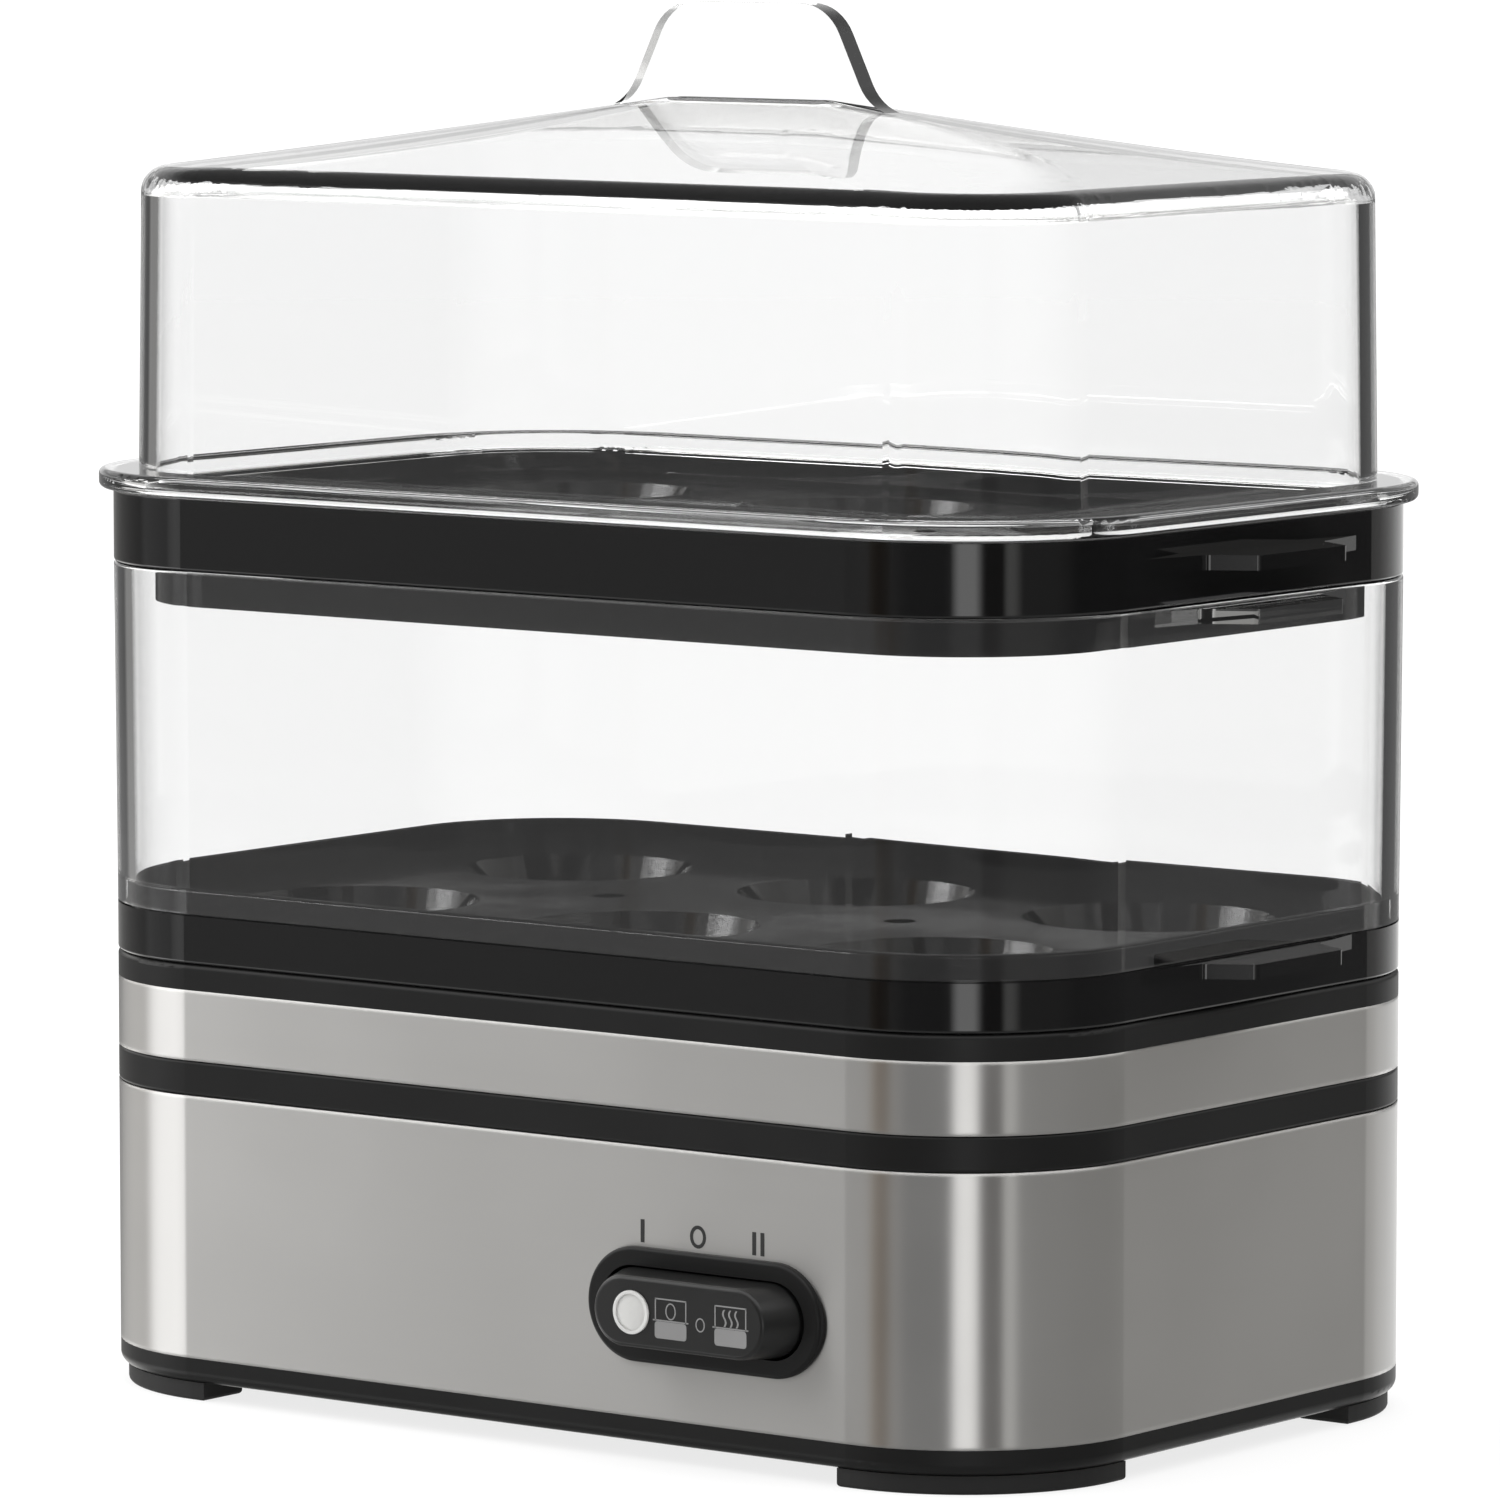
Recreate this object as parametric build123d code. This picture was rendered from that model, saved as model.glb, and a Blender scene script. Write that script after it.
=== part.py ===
"""Two-tier rectangular egg cooker: a steel-clad heating base under two egg trays and clear covers.

Millimetres, +Z up, +X to the right along the front, -Y the front face with the switch.
The origin is on the surface that the cooker stands on, under the middle of its footprint.
"""
from build123d import *
from dataclasses import dataclass
import math
import os

# ---------------------------------------------------------------- driving dimensions
body_length = 182.0            # steel base along X
body_depth = 120.2             # steel base along Y
body_corner = 28.7             # plan radius of the base's corners

# heights of the levels, from the floor up
foot_height = 2.8
pan_edge_height = 3.9
lower_band_height = 40.1
mid_rib_height = 5.4
upper_band_height = 10.7
rim_ring_height = 4.0
tray_band_height = 11.2
tier_height = 48.3
flange_height = 3.0
lid_wall_height = 45.5
roof_rise = 10.9
tab_height = 14.5

# fits and gaps
slip_gap = 0.3                 # between parts that lift off each other
snug_gap = 0.1                 # between parts that are fixed together
pin_gap = 0.05                 # radial, between a pivot pin and its bore

# base shells
band_thickness = 0.6
frame_wall = 2.2
tongue_wall = 1.6              # of the upper frame, where it reaches behind the rib
tongue_length = 4.0
pan_floor = 2.5
pan_upstand = 5.0
pan_edge_round = 1.8
vent_length = 26.0
vent_width = 2.4
vent_pitch = 7.0
vent_count = 5
rib_edge_round = 0.6
rim_edge_round = 0.9

# feet
foot_inset = 1.2
foot_width = 9.0
foot_leg = 2.4                 # straight run of a foot past each end of its corner arc
foot_round = 0.6

# screws and the columns they go into
column_x = 69.0
column_y = 39.0
column_radius = 4.5
screw_radius = 1.75
screw_head_radius = 3.6
screw_head_height = 2.0
screw_length = 12.0
head_recess = 2.2
boss_height = 5.0              # of the pan's screw bosses, from its underside
web_thickness = 2.4            # ties each column to the frame's side wall

# heating plate and what hangs under it
ledge_drop = 9.5               # from the rim ring's top down to the ledge
ledge_width = 9.0
ledge_thickness = 2.5
gasket_thickness = 1.2
plate_thickness = 1.2
bowl_depth = 9.5
bowl_setback = 2.5             # from the ledge's inner edge to the bowl's wall
plate_setback = 1.0            # from the well's wall to the plate's edge
bowl_floor_round = 3.0
element_radius = 3.3
element_length = 104.0         # centre line of the heating loop
element_depth = 50.0
element_corner = 20.0
terminal_spacing = 22.0
terminal_drop = 9.0
strap_width = 12.0
strap_thickness = 1.0
stud_radius = 2.0
stud_length = 9.5
stud_spacing = 60.0
nut_radius = 4.0
nut_height = 3.2
bracket_width = 8.0
bracket_thickness = 0.8
disc_radius = 8.0
disc_cap_height = 3.5
disc_flange_radius = 10.0
fuse_x = -16.0
fuse_radius = 2.0
fuse_length = 12.0
fuse_lead_radius = 0.5
fuse_lead_length = 4.0
clip_length = 8.0
shield_thickness = 0.8
shield_margin = 7.0            # beyond the columns
shield_corner = 10.0
shield_gap = 4.0               # under the element's terminals
shield_slot = 34.0

# mains side
block_length = 34.0
block_depth = 14.0
block_height = 11.0
block_corner = 1.5
block_bore = 1.7
block_poles = 3
block_x = 0.0
block_y = 34.0
gland_from_side = 39.0         # from the steel's left side to the gland's middle
gland_z = 24.0
gland_bore = 3.6
gland_barrel = 6.0
gland_boot = 5.6
gland_boot_flare = 0.8        # how much wider than the barrel the boot starts
gland_flange = 9.0
gland_flange_thickness = 2.2
gland_inside = 12.0
gland_nut_radius = 9.0
gland_nut_height = 5.0

# inner leads
wire_radius = 1.2
wire_bend = 0.45               # share of the shorter run that a bend takes up
socket_width = 6.0             # of the sleeve pushed on a blade
socket_thickness = 2.6
socket_length = 7.5
socket_lift = 0.5              # from a blade's root to its sleeve
socket_grip = 0.3              # how far a wire reaches into its sleeve's wall
crimp_radius = 1.5
crimp_length = 4.0
crimp_overlap = 2.5            # over a fuse lead
block_grip = 3.0               # how far a wire reaches into the terminal block

# switch on the front
switch_x = 37.2
switch_z = 23.5
bezel_length = 42.5
bezel_height = 17.0
bezel_proud = 1.2
bezel_ring = 2.7
collar_wall = 1.4
collar_depth = 9.0
collar_gap = 0.2
rocker_proud = 6.9             # from the steel to the rocker's face
rocker_face_length = 30.8
rocker_face_height = 10.4
rocker_end_gap = 0.75
rocker_side_gap = 0.3
rocker_face_round = 0.7
pivot_depth = 4.0              # behind the steel
pivot_radius = 1.25
hub_radius = 3.0
nose_length = 7.0
nose_width = 3.0
nose_height = 5.0
block_back_gap = 1.2           # from the rocker block's back to the pivot's axis
rocker_swing = 7.0             # degrees each way
lens_offset = -8.5             # from the rocker's middle towards its left end
lens_radius = 3.2
lens_depth = 1.6
lens_proud = 0.3
lens_rim = 0.5                 # width of the raised edge round the lens's dome
lens_groove = 0.25             # from the raised edge down to the dome's foot
lamp_radius = 2.2
lamp_length = 4.6
switch_body_length = 30.0
switch_body_height = 15.0
switch_body_depth = 15.0
blade_width = 4.8
blade_thickness = 0.8
blade_length = 7.0
blade_pitch = 9.0

# trays
rim_wall = 2.0
rim_rebate = 1.5               # the lower tray's rim steps in behind the tier's lip
lip_height = 3.6
tray_floor_drop = 3.9          # from the rim's top to the floor
tray_floor = 2.0
skirt_inset = 6.3
skirt_wall = 2.0
skirt_depth = 5.9              # below the band
egg_columns = 3
egg_rows = 2
egg_pitch = 54.0
cup_radius = 17.0
cup_collar = 2.0
cup_depth = 4.6                # of a cup's collar, from the floor's top
cup_seat_flare = 1.2
steam_hole_radius = 2.6
band_edge_round = 0.5

# lugs that lift the trays and the tier
lug_nose = 9.2                 # how far a lug stands out
lug_nose_half = 11.1
lug_knee = 2.2
lug_knee_half = 15.4
lug_root_half = 27.3
lug_thickness = 2.2
lug_knee_round = 2.0
lug_nose_round = 1.0
lug_rise = 5.1                 # from a tray band's bottom to its lug
tier_lug_drop = 0.5            # from the tier's top to its lug

# clear tier
tier_wall_thickness = 2.6
tier_flare = 0.3               # the tier widens by this much a side towards its top
tier_edge_round = 0.5

# lid
lid_flange_overhang = 2.2
lid_wall_inset = 5.0
lid_corner = 21.2
lid_draft = 0.7
lid_wall_thickness = 2.5
lid_edge_round = 4.0
lid_inner_round = 1.8
lid_lip_height = 3.0
lid_lip_wall = 1.6
tab_thickness = 3.5
tab_top_half = 15.3
tab_root_half = 23.0
tab_round = 8.0
ridge_half_width = 3.0         # the roof ends in a short flat ridge that carries the tab's middle
ridge_half_length = 15.1
ridge_roundness = 0.965        # of the ridge's ends, where 1 is a half circle
roof_bulge = 0.08              # how far the roof's flanks bow out, where 0 is straight
roof_steps = 4
tab_sink = 0.15                # of the flare's end into the crown


@dataclass(frozen=True)
class Outline:
    """A rounded rectangle in plan, centred on the cooker's axis."""

    length: float
    depth: float
    radius: float

    def inset(self, distance):
        """The parallel outline that lies this far inside, or outside if negative."""
        return Outline(self.length - 2 * distance, self.depth - 2 * distance, self.radius - distance)

    def face(self, z):
        """The outline as a flat face at height z."""
        return Pos(0, 0, z) * RectangleRounded(self.length, self.depth, self.radius)

    def block(self, z_low, z_high):
        """The outline extruded between two heights."""
        return extrude(self.face(z_low), z_high - z_low)

    def ring(self, wall, z_low, z_high):
        """A wall of even thickness just inside the outline."""
        return self.block(z_low, z_high) - self.inset(wall).block(z_low, z_high)

    def follows(self, edge):
        """Whether an edge lies on the outline."""
        middle = edge @ 0.5
        across = max(abs(middle.X) - self.length / 2 + self.radius, 0)
        along = max(abs(middle.Y) - self.depth / 2 + self.radius, 0)
        return abs(math.hypot(across, along) - self.radius) < 0.02

    def rim(self, shape, z):
        """The shape's edges that run along the outline at height z."""
        return edges_at(shape, z).filter_by(self.follows)


def edges_at(shape, z):
    """The shape's edges that lie flat at one height."""
    return shape.edges().filter_by_position(Axis.Z, z - 0.01, z + 0.01)


def rod(radius, length, start, direction=(0, 0, 1)):
    """A round bar from a point along a direction."""
    return extrude(Plane(origin=start, z_dir=direction) * Circle(radius), length)


def slab(length, depth, corner, x, y, z_low, z_high):
    """An upright block with rounded corners, centred on (x, y)."""
    return extrude(Pos(x, y, z_low) * RectangleRounded(length, depth, corner), z_high - z_low)


def slot_face(length, height, y):
    """An obround face at the switch, square to Y."""
    plane = Plane(origin=(switch_x, y, switch_z), x_dir=(1, 0, 0), z_dir=(0, 1, 0))
    return plane * SlotOverall(length, height)


def slot_bar(length, height, y_front, y_back):
    """A bar of obround section at the switch, between two distances along Y."""
    return extrude(slot_face(length, height, y_front), y_back - y_front)


def group(solids):
    """Several separate solids kept in one node."""
    return Compound(children=list(solids))


# ---------------------------------------------------------------- levels and outlines
pan_bottom = foot_height
pan_top = pan_bottom + pan_edge_height
rib_bottom = pan_top + lower_band_height
rib_top = rib_bottom + mid_rib_height
frame_top = rib_top + upper_band_height
rim_top = frame_top + rim_ring_height
lower_tray_top = rim_top + tray_band_height
tier_top = lower_tray_top + tier_height
upper_tray_top = tier_top + tray_band_height
flange_top = upper_tray_top + flange_height
roof_edge = flange_top + lid_wall_height
roof_top = roof_edge + roof_rise
tab_top = roof_top + tab_height

body = Outline(body_length, body_depth, body_corner)
frame_outer = body.inset(band_thickness + snug_gap)
frame_inner = frame_outer.inset(frame_wall)
well = body.inset(skirt_inset - slip_gap)
ledge_inner = well.inset(ledge_width)
bowl_outer = ledge_inner.inset(bowl_setback)
upper = body.inset(-tier_flare)
lid_foot = Outline(body_length + 2 * (tier_flare - lid_wall_inset),
                   body_depth + 2 * (tier_flare - lid_wall_inset), lid_corner)
front = -body_depth / 2
back = body_depth / 2
gland_x = gland_from_side - body_length / 2

boss_top = pan_bottom + boss_height
ledge_top = rim_top - ledge_drop
plate_bottom = ledge_top + gasket_thickness
bowl_bottom = plate_bottom - bowl_depth
element_z = bowl_bottom - element_radius - snug_gap
strap_top = element_z - element_radius
strap_bottom = strap_top - strap_thickness
bracket_bottom = strap_bottom - bracket_thickness
shield_bottom = element_z - terminal_drop - shield_gap - shield_thickness
columns = [(x, y) for x in (-column_x, column_x) for y in (-column_y, column_y)]
studs = [(x, 0) for x in (-stud_spacing / 2, stud_spacing / 2)]

fuse_z = bowl_bottom - fuse_radius - snug_gap
crimp_end = fuse_length / 2 + fuse_lead_length - crimp_overlap + crimp_length
sensor_blade_y = bracket_width / 2 + 2 * blade_thickness
sensor_wire_z = strap_bottom - socket_lift - socket_length / 2

inner_length = bezel_length - 2 * bezel_ring
inner_height = bezel_height - 2 * bezel_ring
collar_length = inner_length + 2 * collar_wall
collar_height = inner_height + 2 * collar_wall
bezel_front = front - bezel_proud
collar_back = front + collar_depth
rocker_front = front - rocker_proud
rocker_length = inner_length - 2 * rocker_end_gap
rocker_height = inner_height - 2 * rocker_side_gap
pivot_y = front + pivot_depth
blade_root_y = collar_back + switch_body_depth
socket_end_y = blade_root_y + socket_lift + socket_length
block_front = block_y - block_depth / 2
block_pitch = block_length / block_poles
block_wire_z = pan_bottom + pan_floor + block_height / 2
gland_proud = rocker_proud + lens_proud   # the cooker is as deep behind its axis as in front of it


# ---------------------------------------------------------------- base shells
def make_feet():
    """Four rubber pads, each bent round a corner of the pan."""
    outer = body.inset(foot_inset)
    pads = outer.ring(foot_width, 0, foot_height)
    straight_x = body_length / 2 - body_corner - foot_leg
    straight_y = body_depth / 2 - body_corner - foot_leg
    pads -= Box(2 * straight_x, 2 * body_depth, 4 * foot_height)
    pads -= Box(2 * body_length, 2 * straight_y, 4 * foot_height)
    return fillet(edges_at(pads, 0), foot_round)


def make_base_pan():
    """The black bottom cover: its edge strip shows, and its upstand fits inside the frame."""
    hollow = frame_inner.inset(snug_gap)
    pan = body.block(pan_bottom, pan_top)
    pan = fillet(body.rim(pan, pan_bottom), pan_edge_round)
    pan += hollow.block(pan_top, pan_top + pan_upstand)
    pan -= hollow.inset(frame_wall).block(pan_bottom + pan_floor, pan_top + pan_upstand)
    for x, y in columns:
        pan += rod(screw_head_radius + pan_floor, boss_height, (x, y, pan_bottom))
        pan -= rod(screw_head_radius + snug_gap, head_recess, (x, y, pan_bottom))
        pan -= rod(screw_radius + snug_gap, boss_height, (x, y, pan_bottom))
    vent = extrude(Pos(0, 0, pan_bottom) * SlotOverall(vent_length, vent_width), pan_floor)
    for row in range(vent_count):
        pan -= Pos(0, (row - (vent_count - 1) / 2) * vent_pitch, 0) * vent
    return pan


def make_screws():
    """Four screws that hold the pan to the frame's columns."""
    head_bottom = pan_bottom + head_recess - screw_head_height
    recess = Box(screw_radius * 2, screw_radius / 2, screw_head_height)
    recess += Rot(0, 0, 90) * recess
    screws = []
    for x, y in columns:
        screw = rod(screw_head_radius, screw_head_height, (x, y, head_bottom))
        screw = fillet(edges_at(screw, head_bottom), screw_head_height / 3)
        screw += rod(screw_radius, screw_length, (x, y, head_bottom + screw_head_height))
        screws.append(screw - Pos(x, y, head_bottom) * recess)
    return group(screws)


def make_frame():
    """The plastic frame inside the tall steel band, whose rib shows as the black line between the bands."""
    frame = frame_outer.block(pan_top, rib_top)
    rib = body.block(rib_bottom, rib_top)
    frame += fillet(body.rim(rib, rib_bottom) + body.rim(rib, rib_top), rib_edge_round)
    frame -= frame_inner.block(pan_top, rib_top)
    side = frame_inner.length / 2
    for x, y in columns:
        reach = side - column_x + snug_gap
        web = Box(reach, web_thickness, shield_bottom - pan_top - pan_upstand - slip_gap,
                  align=(Align.MIN, Align.CENTER, Align.MAX))
        web = Pos(column_x, y, shield_bottom) * web
        frame += web if x > 0 else mirror(web, Plane.YZ)
        frame += rod(column_radius, shield_bottom - boss_top, (x, y, boss_top))
        frame -= rod(screw_radius + pin_gap, screw_length, (x, y, boss_top))
        frame -= rod(screw_radius + pin_gap, -screw_length / 2, (x, y, shield_bottom))
    frame -= slot_bar(collar_length + 2 * collar_gap, collar_height + 2 * collar_gap,
                      front, front + body_corner)
    return frame - rod(gland_barrel + collar_gap, body_corner, (gland_x, back, gland_z), (0, -1, 0))


def make_upper_frame():
    """The plastic sleeve inside the narrow band: it stands on the rib, and its tongue reaches down behind it."""
    sleeve = frame_outer.ring(frame_wall, rib_top, frame_top)
    sleeve += frame_inner.ring(tongue_wall, rib_top, ledge_top - ledge_thickness - snug_gap)
    return sleeve + frame_inner.inset(snug_gap).ring(tongue_wall - snug_gap, rib_top - tongue_length, rib_top)


def make_lower_band():
    """The tall stainless band, cut out for the switch and for the cord."""
    band = body.ring(band_thickness, pan_top, rib_bottom)
    band -= slot_bar(collar_length + 2 * collar_gap, collar_height + 2 * collar_gap, front, 0)
    return band - rod(gland_barrel + collar_gap, back, (gland_x, back, gland_z), (0, -1, 0))


def make_upper_band():
    """The narrow stainless band above the rib."""
    return body.ring(band_thickness, rib_top, frame_top)


def make_rim_ring():
    """The black top ring, with the ledge that carries the heating plate."""
    ledge_bottom = ledge_top - ledge_thickness
    ring = body.block(frame_top, rim_top)
    ring = fillet(body.rim(ring, rim_top), rim_edge_round)
    ring += frame_inner.inset(snug_gap).block(ledge_bottom, frame_top)
    ring -= well.block(ledge_top, rim_top)
    return ring - ledge_inner.block(ledge_bottom, ledge_top)


# ---------------------------------------------------------------- heating
def make_gasket():
    """The silicone ring under the heating plate's edge."""
    outer = well.inset(plate_setback)
    return outer.block(ledge_top, plate_bottom) - ledge_inner.block(ledge_top, plate_bottom)


def make_heating_plate():
    """The shallow water bowl, with a flat edge and two welded studs below."""
    plate = well.inset(plate_setback).block(plate_bottom, plate_bottom + plate_thickness)
    bowl = bowl_outer.block(bowl_bottom, plate_bottom)
    plate += fillet(edges_at(bowl, bowl_bottom), bowl_floor_round)
    water = bowl_outer.inset(plate_thickness)
    water = water.block(bowl_bottom + plate_thickness, plate_bottom + plate_thickness)
    plate -= fillet(edges_at(water, bowl_bottom + plate_thickness), bowl_floor_round - plate_thickness)
    for x, y in studs:
        plate += rod(stud_radius, -stud_length - element_radius, (x, y, bowl_bottom))
    return plate


def make_element():
    """The sheathed heating loop, whose two ends turn down at the back."""
    half_x, half_y, half_gap = element_length / 2, element_depth / 2, terminal_spacing / 2
    corners = [(half_gap, half_y), (half_x, half_y), (half_x, -half_y),
               (-half_x, -half_y), (-half_x, half_y), (-half_gap, half_y)]
    low = element_z - terminal_drop
    points = [(half_gap, half_y, low)] + [(x, y, element_z) for x, y in corners] + [(-half_gap, half_y, low)]
    bend = element_radius * 1.5
    path = FilletPolyline(*points, radius=[bend] + [element_corner] * 4 + [bend])
    section = Plane(origin=path @ 0, z_dir=path % 0) * Circle(element_radius)
    element = sweep(section, path)
    for x in (-half_gap, half_gap):
        element += Pos(x, half_y, low) * Box(blade_width, blade_thickness, blade_length,
                                             align=(Align.CENTER, Align.CENTER, Align.MAX))
    return element


def make_straps():
    """Two straps that press the loop against the plate, one at each stud."""
    straps = []
    for x, y in studs:
        strap = slab(strap_width, element_depth + 2 * element_radius, strap_width / 3, x, y,
                     strap_bottom, strap_top)
        straps.append(strap - rod(stud_radius + snug_gap, strap_thickness, (x, y, strap_bottom)))
    return group(straps)


def make_bracket():
    """The strip between the studs that carries the thermostat and the fuse."""
    bracket = slab(stud_spacing + strap_width, bracket_width, bracket_width / 3, 0, 0,
                   bracket_bottom, strap_bottom)
    for x, y in studs:
        bracket -= rod(stud_radius + snug_gap, bracket_thickness, (x, y, bracket_bottom))
    return bracket


def make_nuts():
    """The two hexagon nuts on the studs."""
    nuts = []
    for x, y in studs:
        nut = extrude(Pos(x, y, bracket_bottom) * RegularPolygon(nut_radius, 6), -nut_height)
        nuts.append(nut - rod(stud_radius + pin_gap, -nut_height, (x, y, bracket_bottom)))
    return group(nuts)


def make_thermostat():
    """The bimetal disc thermostat, held between the bracket and the bowl's underside."""
    top = bowl_bottom - snug_gap
    cap_bottom = top - disc_cap_height
    thermostat = rod(disc_radius, disc_cap_height, (0, 0, cap_bottom))
    thermostat = fillet(edges_at(thermostat, top), disc_cap_height / 4)
    thermostat += rod(disc_flange_radius, -blade_thickness, (0, 0, cap_bottom))
    thermostat += rod(disc_radius - blade_thickness, cap_bottom - strap_bottom, (0, 0, strap_bottom))
    blade = Box(blade_width, blade_thickness, blade_length, align=(Align.CENTER, Align.CENTER, Align.MAX))
    for side in (-1, 1):
        thermostat += Pos(0, side * sensor_blade_y, strap_bottom) * blade
    return thermostat


def make_fuse():
    """The thermal cut-off, lying across the bracket with a lead at each end."""
    fuse = rod(fuse_radius, fuse_length, (fuse_x, -fuse_length / 2, fuse_z), (0, 1, 0))
    lead_length = fuse_length + 2 * fuse_lead_length
    return fuse + rod(fuse_lead_radius, lead_length, (fuse_x, -lead_length / 2, fuse_z), (0, 1, 0))


def make_fuse_clip():
    """The cradle that holds the cut-off up against the bowl."""
    clip = slab(clip_length, bracket_width, 1, fuse_x, 0, strap_bottom, fuse_z)
    return clip - rod(fuse_radius + pin_gap, bracket_width, (fuse_x, -bracket_width / 2, fuse_z), (0, 1, 0))


def make_heat_shield():
    """The sheet between the heating loop and the wiring, screwed to the columns."""
    length = 2 * (column_x + shield_margin)
    depth = 2 * (column_y + shield_margin)
    shield = slab(length, depth, shield_corner, 0, 0, shield_bottom, shield_bottom + shield_thickness)
    shield -= Pos(0, element_depth / 2, shield_bottom) * extrude(SlotOverall(shield_slot, blade_length * 1.2),
                                                                 shield_thickness)
    for x, y in columns:
        shield -= rod(screw_radius + snug_gap, shield_thickness, (x, y, shield_bottom))
    return shield


def make_shield_screws():
    """Four short screws that hold the shield down."""
    top = shield_bottom + shield_thickness
    screws = []
    for x, y in columns:
        head = rod(screw_head_radius, screw_head_height, (x, y, top))
        head = fillet(edges_at(head, top + screw_head_height), screw_head_height / 2)
        screws.append(head + rod(screw_radius, shield_thickness + screw_length / 3,
                                 (x, y, shield_bottom - screw_length / 3)))
    return group(screws)


# ---------------------------------------------------------------- mains side
def make_terminal_block():
    """The moulded block on the pan's floor where the cord meets the inner leads."""
    floor = pan_bottom + pan_floor
    block = slab(block_length, block_depth, block_corner, block_x, block_y, floor, floor + block_height)
    for pole in range(block_poles):
        x = block_x + (pole - (block_poles - 1) / 2) * block_pitch
        block -= rod(block_bore, block_depth, (x, block_front, block_wire_z), (0, 1, 0))
        for y in (block_y - block_depth / 4, block_y + block_depth / 4):
            block -= rod(block_bore, -block_height / 3, (x, y, floor + block_height))
    return block


def make_gland():
    """The strain-relief bush that the mains cord passes through, at the back."""
    gland = rod(gland_barrel, gland_inside, (gland_x, back, gland_z), (0, -1, 0))
    flange = rod(gland_flange, gland_flange_thickness, (gland_x, back, gland_z), (0, 1, 0))
    rim = flange.edges().filter_by_position(Axis.Y, back + gland_flange_thickness - 0.01, back + gland_proud)
    gland += fillet(rim, gland_flange_thickness / 2)
    root = Plane(origin=(gland_x, back + gland_flange_thickness, gland_z), z_dir=(0, 1, 0))
    tip = root.offset(gland_proud - gland_flange_thickness)
    gland += loft([root * Circle(gland_barrel + gland_boot_flare), tip * Circle(gland_boot)])
    return gland - rod(gland_bore, gland_inside + gland_proud, tip.origin.to_tuple(), (0, -1, 0))


def make_gland_nut():
    """The nut that clamps the gland from inside the frame."""
    face = frame_inner.depth / 2 - snug_gap
    plane = Plane(origin=(gland_x, face, gland_z), z_dir=(0, -1, 0))
    nut = extrude(plane * RegularPolygon(gland_nut_radius, 6), gland_nut_height)
    return nut - rod(gland_barrel + pin_gap, gland_nut_height, (gland_x, face, gland_z), (0, -1, 0))


# ---------------------------------------------------------------- inner leads
def wire(*points):
    """An insulated wire along a route, each bend as wide as its two runs allow."""
    radii = []
    for before, corner, after in zip(points, points[1:], points[2:]):
        arriving = Vector(*corner) - Vector(*before)
        leaving = Vector(*after) - Vector(*corner)
        half_turn = math.radians(arriving.get_angle(leaving)) / 2
        radii.append(wire_bend * min(arriving.length, leaving.length) / math.tan(half_turn))
    path = FilletPolyline(*points, radius=radii)
    return sweep(Plane(origin=path @ 0, z_dir=path % 0) * Circle(wire_radius), path)


def socket(root, along):
    """The insulated sleeve that is pushed on a blade, given the blade's root and the way that it points."""
    plane = Plane(origin=root, x_dir=(1, 0, 0), z_dir=along)
    sleeve = extrude(plane.offset(socket_lift) * RectangleRounded(socket_width, socket_thickness, socket_grip),
                     socket_length)
    blade = plane * Rectangle(blade_width + 2 * pin_gap, blade_thickness + 2 * pin_gap)
    return sleeve - extrude(blade, blade_length + pin_gap)


def crimp(side):
    """The crimp over one of the fuse's leads."""
    start = side * (fuse_length / 2 + fuse_lead_length - crimp_overlap)
    barrel = rod(crimp_radius, crimp_length, (fuse_x, start, fuse_z), (0, side, 0))
    return barrel - rod(fuse_lead_radius + pin_gap, crimp_overlap, (fuse_x, start, fuse_z), (0, side, 0))


def make_live_lead():
    """From the terminal block to the switch's middle blade."""
    run_z = block_wire_z
    return socket((switch_x, blade_root_y, switch_z), (0, 1, 0)) + wire(
        (block_x - block_pitch, block_front + block_grip, run_z), (block_x - block_pitch, 12, run_z),
        (20, -6, run_z), (switch_x, -8, switch_z - 2.5), (switch_x, socket_end_y - socket_grip, switch_z))


def make_cook_lead():
    """From the switch's cooking blade, up through the shield's slot, to the thermostat's front blade."""
    x = switch_x - blade_pitch
    lead = socket((x, blade_root_y, switch_z), (0, 1, 0))
    lead += socket((0, -sensor_blade_y, strap_bottom), (0, 0, -1))
    return lead + wire((x, socket_end_y - socket_grip, switch_z), (x, -12, switch_z), (4.2, 6, 21),
                       (4.2, 24.5, 21), (4.2, 24.5, sensor_wire_z), (9.5, 8, sensor_wire_z),
                       (9.5, -sensor_blade_y, sensor_wire_z),
                       (socket_width / 2 - socket_grip, -sensor_blade_y, sensor_wire_z))


def make_warm_lead():
    """From the switch's keep-warm blade to the thermostat's back blade, past the thermostat."""
    x = switch_x + blade_pitch
    return socket((x, blade_root_y, switch_z), (0, 1, 0)) + wire(
        (x, socket_end_y - socket_grip, switch_z), (x, -8, switch_z), (-0.6, 4, 27), (-0.6, 24.5, 27),
        (-0.6, 24.5, sensor_wire_z), (-0.6, sensor_blade_y + socket_thickness / 2, sensor_wire_z))


def make_sensor_lead():
    """From the thermostat's back blade to the fuse."""
    turn_y = 18.0
    lead = socket((0, sensor_blade_y, strap_bottom), (0, 0, -1)) + crimp(1)
    return lead + wire((socket_grip - socket_width / 2, sensor_blade_y, sensor_wire_z),
                       (-12, sensor_blade_y, sensor_wire_z), (fuse_x, turn_y, sensor_wire_z),
                       (fuse_x, turn_y, fuse_z), (fuse_x, crimp_end - socket_grip, fuse_z))


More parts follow.
